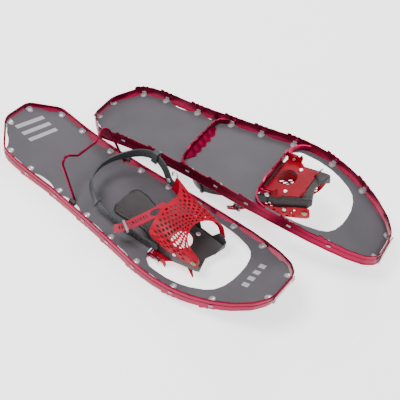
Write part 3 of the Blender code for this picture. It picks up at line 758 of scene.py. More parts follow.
def repeated(part: Shape, spots: Sequence[tuple[Vector, Euler]],
             finish: bpy.types.Material) -> Mesh:
    """Repeat a part.

    Args:
        part: the part.
        spots: where each copy goes and how it is turned.
        finish: its material.

    Returns:
        One mesh with all the copies.
    """
    points = bpy.data.meshes.new("spots")
    points.from_pydata([spot for spot, _ in spots], [], [])
    turn = points.attributes.new("turn", "FLOAT_VECTOR", "POINT")
    for k, (_, angles) in enumerate(spots):
        turn.data[k].vector = angles
    item = show("part", settle(part, "part"))
    result = run_group(repeat_group(), points, {"Part": item, "Finish": finish})
    bpy.data.objects.remove(item)
    return result


@dataclass(frozen=True)
class Hole:
    """An oval hole in a flat sheet: its middle and its two half sizes."""

    x: float
    y: float
    half_x: float
    half_y: float


def cut_sheet(outline: Sequence[Point], holes: Sequence[Hole], finish: bpy.types.Material,
              grid: float, thickness: float, place: Place) -> Shape:
    """Cut a sheet flat, then bend it into shape.

    Args:
        outline: its edge, flat.
        holes: what is cut out of it.
        finish: its material.
        grid: the longest span that stays flat.
        thickness: of the sheet.
        place: carries (x, y, height above the sheet's middle) to the shoe's frame.

    Returns:
        The bent solid.
    """
    flat = bpy.data.meshes.new("flat")
    count = len(outline)
    flat.from_pydata([(p[0], p[1], 0) for p in outline] + [(h.x, h.y, 0) for h in holes],
                     [(k, (k + 1) % count) for k in range(count)], [])
    size = flat.attributes.new("size", "FLOAT_VECTOR", "POINT")
    for k, hole in enumerate(holes):
        size.data[count + k].vector = (hole.half_x, hole.half_y, 1.0)
    filled = run_group(cut_group(), flat, {"Finish": finish})
    bm = bmesh.new()
    bm.from_mesh(filled)
    for axis, normal in enumerate(((1.0, 0.0, 0.0), (0.0, 1.0, 0.0))):
        low, high = (f(p[axis] for p in outline) for f in (min, max))
        slice_across(bm, normal, [low + k * grid for k in range(1, math.ceil((high - low) / grid))])
    thicken(bm, -thickness / 2, thickness / 2, place)
    return bm


# ---- the frame ------------------------------------------------------------------
def rail_loop() -> list[Vector]:
    """The rail's outer face as a clockwise loop."""
    ends = list(OUTLINE) + [(x, -y) for x, y in reversed(OUTLINE)]
    return rounded(ends, 0.034, steps=9)


@dataclass
class Rail(Assembly):
    """The toothed aluminium blade round the shoe, with a bead along its top."""

    top: float = 0.0090           # of the bead, above the deck
    bottom: float = -0.0150       # of the blade behind the last teeth, from the deck
    root: float = -0.0165         # of the teeth
    tip: float = -0.0210          # of the teeth
    lead: float = 0.018           # from a group's start to its clip
    run: float = 0.048            # length of a group
    neck: float = 0.0052          # where the bead meets the blade
    shoulder: float = 0.0045      # where the blade has its full depth of groove
    groove: float = 0.0006        # depth of the groove under the bead
    shy: float = 0.0005           # how far the blade's lower part is set in
    ridge: tuple[float, float] = (-0.0022, -0.0068)   # the outer ridge's two heights
    # how far along a group of teeth, and how far down from root to tip
    group: tuple = ((0.00, 0.00), (0.03, 1.00), (0.16, 0.80), (0.19, 0.30), (0.34, 0.62),
                    (0.38, 0.15), (0.55, 0.45), (0.60, 0.05), (0.80, 0.25), (1.00, 0.00))

    def depth(self, x: float) -> float:
        """How far below the deck the blade reaches.

        Args:
            x: where along the shoe.

        Returns:
            The height of its bottom edge, from the deck.
        """
        for clip in CLIP_X:
            t = (x - clip + self.lead) / self.run
            if 0.0 <= t <= 1.0:
                for (t0, d0), (t1, d1) in zip(self.group, self.group[1:]):
                    if t0 <= t <= t1:
                        share = d0 + (d1 - d0) * (t - t0) / (t1 - t0)
                        return self.root + (self.tip - self.root) * share
        return self.bottom if x < CLIP_X[0] - self.lead else self.root

    def line(self) -> list[Vector]:
        """Draw the outer face with a point at every corner of every tooth.

        Returns:
            A clockwise loop.
        """
        base = rail_loop()
        marks = [clip - self.lead + t * self.run for clip in CLIP_X for t, _ in self.group]
        loop = []
        for k, point in enumerate(base):
            following = base[(k + 1) % len(base)]
            loop.append(point)
            low, high = sorted((point.x, following.x))
            inside = [m for m in marks if low + 1e-4 < m < high - 1e-4 and abs(point.y) > 0.035]
            loop += [point.lerp(following, (m - point.x) / (following.x - point.x))
                     for m in sorted(inside, reverse=point.x > following.x)]
        return loop

    def section(self, level: float, depth: float) -> list[tuple[float, float]]:
        """Draw the blade's section.

        Args:
            level: height of the deck.
            depth: height of the blade's bottom edge.

        Returns:
            Its corners as (distance in from the outer face, height).
        """
        bead, inside = RAIL_THICK / 2, RAIL_THICK - 0.0007
        arc = [(bead - bead * math.cos(a), level + self.top - bead + bead * math.sin(a))
               for a in (math.pi * k / 8 for k in range(9))]
        inner = [(RAIL_THICK, level + self.neck), (inside, level + self.shoulder),
                 (inside, depth + 0.0006), (RAIL_THICK - 0.0012, depth)]
        high, low = (level + edge for edge in self.ridge)
        outer = [(0.0010, depth), (self.shy, depth + 0.0006), (self.shy, low + 0.0006), (0.0, low),
                 (0.0, high), (self.groove, high + 0.0006), (self.groove, level + self.shoulder),
                 (0.0, level + self.neck)]
        return arc + inner + outer

    def build(self) -> None:
        """Make the rail."""
        loop = self.line()
        rings = []
        for k, point in enumerate(loop):
            into, level = inward(loop, k), deck_height(point.x)
            rings.append([(*(point + into * d), z)
                          for d, z in self.section(level, level + self.depth(point.x))])
        self.maker.piece("rail_blade", skin(rings, closed=True), Body.FRAME, ["rail"], "rail",
                         "red_anodised", smooth=32)


@dataclass
class Deck(Assembly):
    """The coated fabric sheet with its toe opening and scalloped edge."""

    margin: float = 0.0050        # between the rail's outer face and the tongues' ends
    scallop: float = 0.0035       # how deep the edge is cut back between two clips
    deep_scallop: float = 0.0085  # and beside the heel lifter's pivots
    tongue: float = 0.010         # half the uncut edge left at a clip
    cuts: float = 0.012           # the longest span that stays flat
    width: float = 0.194          # of the sheet laid flat
    length: float = 0.648         # measured along the curve from tail to nose
    stretch: float = 1.012        # its area along the curve, to its area seen from above
    ink_high: float = 0.00016     # how far the marks stand above the deck
    ink_low: float = 0.0001       # and how far they go into it
    tail_bar: tuple = ((0.000, -0.024), (0.008, -0.024), (0.022, 0.036), (0.014, 0.036))
    tail_bars: tuple = ((0.020, 0.000), (0.038, 0.000), (0.056, 0.000))
    nose_bar: tuple = ((0.000, 0.000), (0.012, 0.000), (0.012, 0.009), (0.000, 0.009))
    nose_bars: tuple = ((0.570, -0.024), (0.570, -0.007), (0.570, 0.010), (0.570, 0.027))

    def edge_inset(self, x: float) -> float:
        """How far the deck's edge is from the rail's outer face.

        Args:
            x: where along the shoe.

        Returns:
            The distance.
        """
        marks = (0.0105, *CLIP_X, 0.6245)
        for a, b in zip(marks, marks[1:]):
            if 0.02 <= x <= 0.60 and a <= x <= b:
                off = (x - (a + b) / 2) / ((b - a) / 2 - self.tongue)
                deep = self.deep_scallop if 0.110 <= a < 0.260 else self.scallop
                return self.margin + deep * max(0.0, 1.0 - off ** 2) ** 0.6
        return self.margin

    def build(self) -> None:
        """Make the deck and its printed marks."""
        half = list(TOE_HOLE)
        toe = rounded(half + [(x, -y) for x, y in reversed(half[1:-1])], 0.016, steps=8)
        fine = []
        base = rail_loop()
        for k, point in enumerate(base):
            following = base[(k + 1) % len(base)]
            spans = max(1, math.ceil((following - point).length / 0.005))
            fine += [point.lerp(following, j / spans) for j in range(spans)]
        edge = [p + inward(fine, k) * self.edge_inset(p.x) for k, p in enumerate(fine)]
        bm = bmesh.new()
        edges = []
        for loop in (edge, toe):
            verts = [bm.verts.new((p[0], p[1], 0.0)) for p in loop]
            edges += [bm.edges.new((verts[k - 1], verts[k])) for k in range(len(verts))]
        bmesh.ops.triangle_fill(bm, use_beauty=True, edges=edges, normal=(0, 0, 1))
        area = sum(face.calc_area() for face in bm.faces)
        slice_across(bm, (1, 0, 0), [k * self.cuts for k in range(1, int(LENGTH / self.cuts) + 1)])
        raised = thicken(bm, -DECK_THICK / 2, DECK_THICK / 2, on_deck)
        for face in bm.faces:
            face.material_index = 0 if all(v in raised for v in face.verts) else 1
        item = self.maker.piece("deck_sheet", bm, Body.FRAME, ["deck_top", "deck_under"], "deck",
                                "grey_deck", smooth=50)
        min(area * self.stretch, self.width * self.length)
        self.print_marks()

    def print_marks(self) -> None:
        """Print plain bars near the tail and near the nose."""
        bars = [[Vector(corner) + Vector(spot) for corner in bar]
                for bar, spots in ((self.tail_bar, self.tail_bars), (self.nose_bar, self.nose_bars))
                for spot in spots]
        bm = bmesh.new()
        for a, b, c, d in bars:
            rows = [[bm.verts.new((*a.lerp(b, s / 3).lerp(d.lerp(c, s / 3), t / 6), 0.0))
                     for s in range(4)] for t in range(7)]
            for near, far in zip(rows, rows[1:]):
                for k in range(3):
                    bm.faces.new((near[k], near[k + 1], far[k + 1], far[k]))
        thicken(bm, DECK_THICK / 2 - self.ink_low, DECK_THICK / 2 + self.ink_high, on_deck)
        self.maker.piece("deck_marks", bm, Body.FRAME, ["ink"])


@dataclass
class DeckClips(Assembly):
    """The clips that lace the deck to the rail, each with a rivet."""

    rivet_in: float = 0.0105      # from the rail's outer face
    width: float = 0.0125
    reach: float = 0.0170
    thick: float = 0.0009
    tail_y: float = 0.0255        # of the clips at the tail and at the nose
    nose_y: float = 0.0296
    corner: float = 0.005         # rounding of the pads
    ease: float = 0.0003          # and of their rims
    web: float = 0.0012           # thickness of the link from the pads to the tab
    narrower: float = 0.002       # by how much each side of the link and the tab is set in
    drop: tuple[float, float] = (-0.0080, -0.0040)    # the tab's two heights
    proud: float = 0.0008         # how far the tab stands out of the rail
    stem: float = 0.0016          # the rivet's radii: its stem, its foot and its head
    foot: float = 0.0036
    head: float = 0.0038

    def spots(self) -> list[tuple[Vector, Euler]]:
        """Place the clips.

        Returns:
            Where each clip's rivet is, and its turn: X into the shoe, Z up from the deck.
        """
        loop = rail_loop()
        result = []
        for x, side in ((x, side) for x in CLIP_X for side in (1, -1)):
            a, b = min(((p, q) for p, q in zip(loop, loop[1:] + loop[:1])
                        if p.y * side > 0.03 and min(p.x, q.x) <= x <= max(p.x, q.x)),
                       key=lambda pair: abs(pair[0].x - x))
            along = (b - a).normalized()
            result.append(self.spot(a.lerp(b, (x - a.x) / (b.x - a.x)),
                                    Vector((along.y, -along.x))))
        for side in (1, -1):
            result.append(self.spot(Vector((0.0, side * self.tail_y)), Vector((1.0, 0.0))))
            result.append(self.spot(Vector((LENGTH, side * self.nose_y)), Vector((-1.0, 0.0))))
        return result

    def spot(self, face: Vector, into: Vector) -> tuple[Vector, Euler]:
        """Lay one clip on the deck.

        Args:
            face: where it meets the rail's outer face.
            into: the direction into the shoe there.

        Returns:
            The place of its rivet and its turn.
        """
        here = face + into * self.rivet_in
        near, step = 0.004, into * 0.004
        rise = (deck_height(here.x + step.x) - deck_height(here.x - step.x)) / (2 * near)
        slope = (deck_height(here.x + near) - deck_height(here.x - near)) / (2 * near)
        x_axis = Vector((into.x, into.y, rise)).normalized()
        z_axis = Vector((-slope, 0.0, 1.0))
        z_axis = (z_axis - z_axis.dot(x_axis) * x_axis).normalized()
        turn = Matrix((x_axis, z_axis.cross(x_axis), z_axis)).transposed().to_euler()
        return on_deck(here.x, here.y, 0.0), turn

    def pad(self) -> Shape:
        """Make one clip.

        Returns:
            A pad above and below the deck, joined to a tab on the rail's outer face.
        """
        half, low, high = self.width / 2, DECK_THICK / 2, DECK_THICK / 2 + self.thick
        inner, face = self.reach - self.rivet_in, -self.rivet_in
        outer = face + RAIL_THICK
        shape = rounded([(outer, -half), (0.0, -half), (inner, -half * 0.6),
                         (inner, half * 0.6), (0.0, half), (outer, half)], self.corner)
        half -= self.narrower
        return join([slab(shape, low, high, self.ease), slab(shape, -high, -low, self.ease),
                     block((outer, -half, -0.0070), (outer + self.web, half, 0.0018), self.ease),
                     block((face - self.proud, -half, self.drop[0]),
                           (face + 0.0006, half, self.drop[1]), 0.0005)])

    def rivet(self) -> Shape:
        """A rivet with a domed head above and a flat one below."""
        top = DECK_THICK / 2 + self.thick
        return turned(((-top - 0.0012, self.stem - 0.0002), (-top - 0.0009, self.foot - 0.0006),
                       (-top, self.foot), (-top + 0.0003, self.stem), (top - 0.0003, self.stem),
                       (top, self.head), (top + 0.0003, self.head),
                       (top + 0.0007, self.head - 0.0010), (top + 0.0009, self.stem - 0.0004)))

    def build(self) -> None:
        """Make all the clips as one piece and all their rivets as another."""
        spots = self.spots()
        for name, part, key in (("deck_clips", self.pad(), "clip"),
                                ("deck_rivets", self.rivet(), "steel")):
            self.maker.piece(name, repeated(part, spots, self.maker.palette[key]), Body.FRAME,
                             [key], slot="steel" if key == "steel" else "")


# ---- the binding ----------------------------------------------------------------
@dataclass
class Tray(Assembly):
    """The moulded tray under the foot, with a window under its ball."""

    low: float = 0.0013
    floor: float = 0.0030
    wall: float = 0.0026
    notch: float = 0.0110
    hole: tuple = (0.4230, 0.0040, 0.0207, 0.0227)    # middle and half sizes
    # X, then how far out and how high the right side reaches, then the left side
    sections: tuple = (
        (0.2840, 0.0230, 0.0045, 0.0230, 0.0045), (0.2880, 0.0320, 0.0050, 0.0320, 0.0050),
        (0.2960, 0.0365, 0.0055, 0.0365, 0.0055), (0.3150, 0.0355, 0.0060, 0.0355, 0.0060),
        (0.3400, 0.0290, 0.0060, 0.0290, 0.0060), (0.3650, 0.0310, 0.0060, 0.0310, 0.0060),
        (0.3860, 0.0400, 0.0080, 0.0400, 0.0080), (0.4050, 0.0465, 0.0200, 0.0465, 0.0200),
        (0.4250, 0.0470, 0.0320, 0.0475, 0.0300), (0.4340, 0.0455, 0.0330, 0.0475, 0.0060),
        (0.4600, 0.0400, 0.0300, 0.0475, 0.0060), (0.4740, 0.0365, 0.0280, 0.0475, 0.0280),
        (0.4840, 0.0345, 0.0220, 0.0470, 0.0250), (0.4920, 0.0305, 0.0150, 0.0450, 0.0190))

    def side(self, y: float, height: float, sign: int) -> list[tuple[float, float]]:
        """Draw a side wall, with rounded corners.

        Args:
            y: how far out it is.
            height: how high it reaches.
            sign: 1 on the shoe's left, -1 on its right.

        Returns:
            Its corners as (Y, Z), from its underside to its foot inside.
        """
        base, floor, wall = self.low, self.low + self.floor, self.wall
        top = base + max(height, 0.0040)
        turn = min(0.0012, (top - base) / 3)
        corners = [(y - 0.0015, base), (y - 0.0004, base + 0.0004), (y, base + 0.0015),
                   (y, top - turn), (y - turn / 3, top - turn / 3), (y - wall / 2, top),
                   (y - wall + turn / 3, top - turn / 3), (y - wall, max(top - turn, floor)),
                   (y - wall - 0.0004, floor + min(0.0006, max(0.0, top - floor) / 3)),
                   (y - wall - 0.0014, floor)]
        return [(sign * u, z) for u, z in corners]

    def ring(self, row: Sequence[float]) -> list[Vector]:
        """Draw one section of the tray.

        Args:
            row: its X, then how far out and how high each side reaches.

        Returns:
            A closed ring of points.
        """
        x, right_y, right, left_y, left = row
        middle = (-right_y * 0.5, 0.0, left_y * 0.5)
        outline = [(y, self.low) for y in middle] + self.side(left_y, left, 1) \
            + [(y, self.low + self.floor) for y in reversed(middle)] \
            + self.side(right_y, right, -1)[::-1]
        back = self.notch * max(0.0, (x - 0.4600) / 0.0320)
        reach = 0.8 * max(left_y, right_y)
        return [Vector((x - back * max(0.0, 1.0 - abs(y) / reach), y, z)) for y, z in outline]

    def build(self) -> None:
        """Make the tray."""
        rows = []
        for a, b in zip(self.sections, self.sections[1:]):
            rows += [[p + (q - p) * k / 3 for p, q in zip(a, b)] for k in range(3)]
        bm = skin([self.ring(row) for row in (*rows, self.sections[-1])])
        bmesh.ops.triangulate(bm, faces=bm.faces)
        x, y, half_x, half_y = self.hole
        drill = turned(((-0.01, 1.0), (0.02, 1.0)), steps=48)
        drill.transform(Matrix.Translation((x, y, 0)) @ Matrix.Diagonal((half_x, half_y, 1, 1)))
        for shape in (bm, drill):
            bmesh.ops.recalc_face_normals(shape, faces=shape.faces)
        item, tool = (show("work", settle(shape, "work")) for shape in (bm, drill))
        cut = item.modifiers.new("hole", "BOOLEAN")
        cut.operation, cut.object = "DIFFERENCE", tool
        self.maker.piece("foot_tray", finished(item), Body.BINDING, ["tray"], "footbed",
                         "dark_tpu", smooth=35)
        bpy.data.objects.remove(tool)


class CradleSurface:
    """The surface that the toe cradle is bent over, measured along itself."""

    rows = (
        # from the shoe's right side over the toes to its left; each row runs backward
        ((0.488, -0.0370, 0.020), (0.460, -0.0430, 0.022),
         (0.428, -0.0500, 0.0285), (0.386, -0.0500, 0.036)),
        ((0.486, -0.0365, 0.044), (0.458, -0.0425, 0.047),
         (0.424, -0.0485, 0.050), (0.384, -0.0470, 0.048)),
        ((0.453, -0.0290, 0.057), (0.436, -0.0290, 0.060),
         (0.411, -0.0290, 0.062), (0.380, -0.0290, 0.059)),
        ((0.440, 0.0000, 0.062), (0.424, 0.0000, 0.065),
         (0.402, 0.0000, 0.067), (0.374, 0.0000, 0.064)),
        ((0.450, 0.0280, 0.062), (0.430, 0.0300, 0.066),
         (0.401, 0.0330, 0.069), (0.366, 0.0360, 0.076)),
        ((0.471, 0.0480, 0.049), (0.446, 0.0505, 0.053),
         (0.406, 0.0520, 0.059), (0.358, 0.0520, 0.083)),
        ((0.486, 0.0490, 0.020), (0.458, 0.0505, 0.020),
         (0.424, 0.0510, 0.022), (0.352, 0.0520, 0.044)),
    )

    def __init__(self) -> None:
        """Lay a grid over the rows and measure it."""
        rows = [smooth_path(row, 12) for row in self.rows]
        columns = [smooth_path([row[j] for row in rows], 10) for j in range(len(rows[0]))]
        self.grid = [[column[i] for column in columns] for i in range(len(columns[0]))]
        middle = len(self.grid[0]) // 2
        self.across = [0.0]
        for a, b in zip(self.grid, self.grid[1:]):
            self.across.append(self.across[-1] + (b[middle] - a[middle]).length)
        self.width = self.across[-1]
        self.length = sum((b - a).length for a, b in zip(self.grid[30], self.grid[30][1:]))
        self.normals = [[self.normal(i, j) for j in range(len(self.grid[0]))]
                        for i in range(len(self.grid))]

    def normal(self, i: int, j: int) -> Vector:
        """Find the outward direction at a point of the grid.

        Args:
            i: the point's place across.
            j: its place from front to back.

        Returns:
            The direction.
        """
        rows, columns = len(self.grid) - 1, len(self.grid[0]) - 1
        over = self.grid[min(i + 1, rows)][j] - self.grid[max(i - 1, 0)][j]
        back = self.grid[i][min(j + 1, columns)] - self.grid[i][max(j - 1, 0)]
        return back.cross(over).normalized()

    def at(self, s: float, t: float, height: float) -> Vector:
        """Find a point of the surface.

        Args:
            s: how far across.
            t: how far back.
            height: above the surface.

        Returns:
            The point in the shoe's frame.
        """
        s = min(max(s, 0.0), self.width)
        last = len(self.across) - 2
        i = next((k for k in range(last + 1) if self.across[k + 1] >= s), last)
        f = (s - self.across[i]) / (self.across[i + 1] - self.across[i])
        v = min(max(t / self.length, 0.0), 1.0) * (len(self.grid[0]) - 1)
        j = min(int(v), len(self.grid[0]) - 2)
        g = v - j

        def blend(table: list[list[Vector]]) -> Vector:
            """The table's value between four grid points."""
            near = table[i][j].lerp(table[i + 1][j], f)
            return near.lerp(table[i][j + 1].lerp(table[i + 1][j + 1], f), g)

        return blend(self.grid) + blend(self.normals).normalized() * height

    def flat(self, point: Point) -> tuple[float, float]:
        """Lay a point of the shoe's frame flat.

        Args:
            point: the point.

        Returns:
            How far across and how far back the nearest place of the surface is.
        """
        target = Vector(point)
        _, i, j = min(((p - target).length, i, j) for i, row in enumerate(self.grid)
                      for j, p in enumerate(row))
        return self.across[i], self.length * j / (len(self.grid[0]) - 1)


@dataclass
class Cradle(Assembly):
    """The perforated flexible shell over the toes."""

    thick: float = 0.0020
    pitch: float = 0.0082
    row_pitch: float = 0.00656
    hole: float = 0.0024
    margin: float = 0.0048
    bolt_room: float = 0.008
    bolts: tuple = ((0.4796, -0.0390, 0.0310), (0.4430, -0.0470, 0.0290))
    surface: CradleSurface = field(default_factory=CradleSurface)

    def outline(self) -> list[Vector]:
        """Draw the shell's edge.

        Returns:
            A flat loop: its front edge, its left end, its rear edge and its right end.
        """
        wide, long = self.surface.width, self.surface.length
        tab = self.surface.flat((0.356, 0.052, 0.066))[0]
        bay = self.surface.flat((0.372, 0.022, 0.070))[0]
        inner, front, rear = self.window()
        corners = [(0.0, 0.0), (wide, 0.0), (wide, front), (inner, front + 0.003),
                   (inner, rear - 0.006), (wide, rear), (wide, long * 0.90), (tab + 0.012, long),
                   (tab - 0.014, long), (bay + 0.004, long * 0.86), (bay - 0.012, long * 0.93),
                   (bay - 0.024, long), (0.0, long)]
        return rounded([Vector(p) for p in corners], 0.006, steps=4)

    def window(self) -> tuple[float, float, float]:
        """Place the opening in the left side.

        Returns:
            Its upper edge, its front and its rear, flat.
        """
        flat = self.surface.flat
        return (flat((0.4550, 0.0507, 0.0370))[0], flat((0.4740, 0.0500, 0.0205))[1],
                flat((0.4330, 0.0507, 0.0205))[1])

    def holes(self) -> list[Hole]:
        """Place the perforations and the tab's hole.

        Returns:
            The holes, flat.
        """
        wide, long = self.surface.width, self.surface.length
        inner, _, rear = self.window()
        tab_s, tab_t = self.surface.flat((0.3600, 0.0520, 0.0480))
        edge = self.outline()
        bolts = [self.surface.flat(p) for p in self.bolts]
        found = [Hole(tab_s, tab_t, 0.0032, 0.0040)]
        for row in range(int(wide / self.row_pitch) + 1):
            s = 0.007 + row * self.row_pitch
            for column in range(int(long / self.pitch) + 1):
                t = 0.006 + (column + 0.5 * (row % 2)) * self.pitch
                plain = (s > tab_s - 0.024 and t > long * 0.62) or (s < 0.030 and t < 0.022) \
                    or (s > inner - 0.010 and t < rear) \
                    or any(math.hypot(s - a, t - b) <= self.bolt_room for a, b in bolts)
                if not plain and self.clear(Vector((s, t)), edge):
                    found.append(Hole(s, t, self.hole, self.hole))
        return found

    def clear(self, spot: Vector, edge: list[Vector]) -> bool:
        """Tell whether a perforation stays clear of the shell's edge.

        Args:
            spot: its middle, flat.
            edge: the shell's edge, flat.

        Returns:
            True where it is inside and far enough in.
        """
        s, t = spot
        inside = False
        for a, b in zip(edge, edge[1:] + edge[:1]):
            if (a.y > t) != (b.y > t) and s < a.x + (b.x - a.x) * (t - a.y) / (b.y - a.y):
                inside = not inside
            span = b - a
            share = min(max((spot - a).dot(span) / max(span.length_squared, 1e-12), 0.0), 1.0)
            if (a + span * share - spot).length < self.margin:
                return False
        return inside

    def build(self) -> None:
        """Make the shell."""
        bm = cut_sheet(self.outline(), self.holes(), self.maker.palette["cradle"], 0.005,
                       self.thick, self.surface.at)
        self.maker.piece("cradle_shell", bm, Body.BINDING, ["cradle"], "toe_cradle", "red_tpu",
                         smooth=50)


@dataclass
class Strap(Assembly):
    """A flat strap with rounded ends and holes, bent along a path.

    Args:
        name: of the piece.
        path: its middle line.
        holes: what is cut out of it, flat.
        across: the direction of its width.
        start: its width at the path's start.
        end: its width at the path's end.
        thick: its thickness.
        middle: how much wider it is halfway.
    """

    name: str
    path: list[Vector]
    holes: list[Hole]
    across: tuple[float, float, float]
    start: float
    end: float
    thick: float
    middle: float = 0.0

    def __post_init__(self) -> None:
        """Measure the path."""
        self.run = [0.0]
        for a, b in zip(self.path, self.path[1:]):
            self.run.append(self.run[-1] + (b - a).length)

    def half(self, t: float) -> float:
        """Find half the strap's width.

        Args:
            t: how far along.

        Returns:
            Half its width there.
        """
        share = t / self.run[-1]
        taper = self.start + (self.end - self.start) * share
        return (taper + self.middle * math.sin(math.pi * share)) / 2

    def axes(self, k: int) -> tuple[Vector, Vector]:
        """Find the strap's directions at a point of its path.

        Args:
            k: which point.

        Returns:
            The directions of its width and of its outward face.
        """
        last = len(self.path) - 1
        along = (self.path[min(k + 1, last)] - self.path[max(k - 1, 0)]).normalized()
        across = Vector(self.across)
        across = (across - across.dot(along) * along).normalized()
        return across, along.cross(across)

    def at(self, x: float, t: float, height: float) -> Vector:
        """Find a point of the strap.

        Args:
            x: how far across.
            t: how far along.
            height: above the strap's middle.

        Returns:
            The point in the shoe's frame.
        """
        t = min(max(t, 0.0), self.run[-1])
        last = len(self.run) - 2
        k = next((i for i in range(last + 1) if self.run[i + 1] >= t), last)
        f = (t - self.run[k]) / (self.run[k + 1] - self.run[k])
        (a0, o0), (a1, o1) = self.axes(k), self.axes(k + 1)
        return self.path[k].lerp(self.path[k + 1], f) + a0.lerp(a1, f) * x + o0.lerp(o1, f) * height

    def outline(self) -> list[Vector]:
        """Draw the strap's edge.

        Returns:
            A flat loop with rounded ends.
        """
        long = self.run[-1]
        stations = [long * k / 24 for k in range(25)]
        right = [Vector((self.half(t), t)) for t in stations]
        left = [Vector((-self.half(t), t)) for t in reversed(stations)]
        return rounded(right + left, 0.006, steps=5)

    def build(self, finish: str, body: Body, replaces: str, slot: str) -> None:
        """Make the strap.

        Args:
            finish: key of its material.
            body: what it moves with.
            replaces: the CAD node it stands for.
            slot: handed to the maker, which does not use it.
        """
        bm = cut_sheet(self.outline(), self.holes, self.maker.palette[finish], 0.004, self.thick,
                       self.at)
        self.maker.piece(self.name, bm, body, [finish], replaces, slot, smooth=40)


TOE_PATH = (
    (0.3790, 0.0040, 0.0595), (0.3711, -0.0192, 0.0560), (0.3634, -0.0416, 0.0540),
    (0.3544, -0.0632, 0.0500), (0.3455, -0.0794, 0.0460), (0.3359, -0.0885, 0.0430),
)
TUCK_FROM = -0.04
HEEL_PATH = (
    (0.4080, -0.0495, 0.0150), (0.3720, -0.0560, 0.0160), (0.3320, -0.0600, 0.0200),
    (0.2960, -0.0640, 0.0290), (0.2640, -0.0600, 0.0400), (0.2360, -0.0400, 0.0450),
    (0.2240, -0.0080, 0.0460), (0.2280, 0.0220, 0.0500), (0.2460, 0.0450, 0.0600),
    (0.2720, 0.0590, 0.0750), (0.3000, 0.0620, 0.0840), (0.3250, 0.0600, 0.0740),
    (0.3410, 0.0570, 0.0570), (0.3640, 0.0554, 0.0500),
)


def toe_strap(maker: Maker) -> Strap:
    """Lay out the ladder strap from the cradle's rear edge over its right side.

    Args:
        maker: of the shoe.

    Returns:
        The strap.
    """
    tucked = [(x, TUCK_FROM + (y - TUCK_FROM) * maker.placement.toe_tuck if y < TUCK_FROM else y, z)
              for x, y, z in TOE_PATH]
    strap = Strap(maker, "toe_ladder_strap", smooth_path(tucked, 6), [], (1.0, 0.25, 0.1),
                  0.024, 0.015, 0.0024)
    strap.holes.append(Hole(0.0, 0.024, 0.0066, 0.0115))
    t = 0.043
    while t < strap.run[-1] - 0.006:
        strap.holes.append(Hole(0.0, t, 0.0040, 0.0014))
        t += 0.0052
    return strap


def heel_strap(maker: Maker) -> Strap:
    """Lay out the stiff strap that loops behind the heel.

    Args:
        maker: of the shoe.

    Returns:
        The strap.
    """
    low, high, last = HEEL_PATH[0][2], HEEL_PATH[-1][2], len(HEEL_PATH) - 1
    points = []
    for k, (x, y, z) in enumerate(HEEL_PATH):
        level = low + (high - low) * k / last
        points.append((x, y, level + (z - level) * maker.placement.strap_press))
    return Strap(maker, "heel_band", smooth_path(points, 6),
                 [Hole(0.0, 0.035 + 0.009 * k, 0.0026, 0.0017) for k in range(9)],
                 (0.25, 0.0, 1.0), 0.016, 0.016, 0.0028, 0.004)


@dataclass
class Lifter(Assembly):
    """The wire bail that raises the heel."""

    wire: float = 0.0024
    half: tuple = ((0.2245, 0.0768), (0.2245, 0.0690), (0.1495, 0.0620), (0.1405, 0.0540),
                   (0.1415, 0.0430), (0.1530, 0.0240))

    def build(self) -> None:
        """Make the lifter."""
        turns = [*self.half, *((x, -y) for x, y in reversed(self.half))]
        path = rounded([(x, y, LIFTER_PIVOT.z) for x, y in turns], 0.009, steps=8, closed=False)
        self.maker.piece("lifter_wire", tube(path, self.wire), Body.LIFTER, ["rail"],
                         "heel_lifter", "red_anodised", smooth=60)


@dataclass
class BeamFace(Assembly):
    """The sloping face pressed into the front of the rear crossbeam."""

    near: float = 0.2362
    half: float = 0.0530
    reach: float = 0.0150
    thick: float = 0.0009

    def build(self) -> None:
        """Make the face."""
        rings = []
        for k in range(25):
            y = self.half * (k / 12 - 1)
            tooth = 1.0 if k % 4 < 2 else 0.80
            swell = tooth * (0.30 + 0.70 * (1.0 - abs(y / self.half) ** 6))
            line = [(self.near + self.reach * swell * out, -0.0018 - down * swell)
                    for out, down in ((0.0, 0.0094), (0.35, 0.0067), (0.75, 0.0012))]
            line.append((self.near + self.reach * swell, -0.0020))
            section = line + [(x, z + self.thick) for x, z in reversed(line)]
            rings.append([(x, y, min(z, -0.0009)) for x, z in section])
        self.maker.piece("rear_beam_face", skin(rings), Body.FRAME, ["rail"],
                         slot="red_anodised", smooth=50)


@dataclass
class StrapKeeper(Assembly):
    """The translucent loop round the toe strap's free end."""

    strap: Strap
    share: float = 0.80           # how far along the strap it sits
    wire: float = 0.0011
    step: float = 0.0010          # a quarter of its width

    def build(self) -> None:
        """Make the loop."""
        t = self.strap.run[-1] * self.share
        wide, high = self.strap.half(t) + 0.0022, self.strap.thick / 2 + 0.0018
        loop = rounded([(-wide, -high, 0), (wide, -high, 0), (wide, high, 0), (-wide, high, 0)],
                       0.0016, steps=3)
        rings = [[self.strap.at(p.x, t + k * self.step, p.y) for p in loop] for k in range(-2, 3)]
        more_x, more_y = 1 + self.wire / wide, 1 + self.wire / high
        rings += [[self.strap.at(p.x * more_x, t + k * self.step, p.y * more_y) for p in loop]
                  for k in range(2, -3, -1)]
        self.maker.piece("toe_strap_keeper", skin(rings, closed=True), Body.BINDING, ["clip"])


@dataclass
class TabHook(Assembly):
    """The plated hook at the end of the cradle's tab."""

    centre: tuple[float, float, float] = (0.3530, 0.0535, 0.0840)
    lowered: float = 0.0100       # how much lower it hangs under the overturned shoe
    radius: float = 0.0060
    wire: float = 0.0016

    def build(self) -> None:
        """Make the hook."""
        x, y, z = self.centre
        z -= self.lowered if self.maker.placement.mirrored else 0.0
        path = [Vector((x - self.radius * math.sin(a), y, z + self.radius * math.cos(a)))
                for a in (math.radians(-100 + 245 * k / 28) for k in range(29))]
        self.maker.piece("tab_hook", tube(path, self.wire, 12), Body.BINDING, ["steel"],
                         slot="steel", smooth=60)


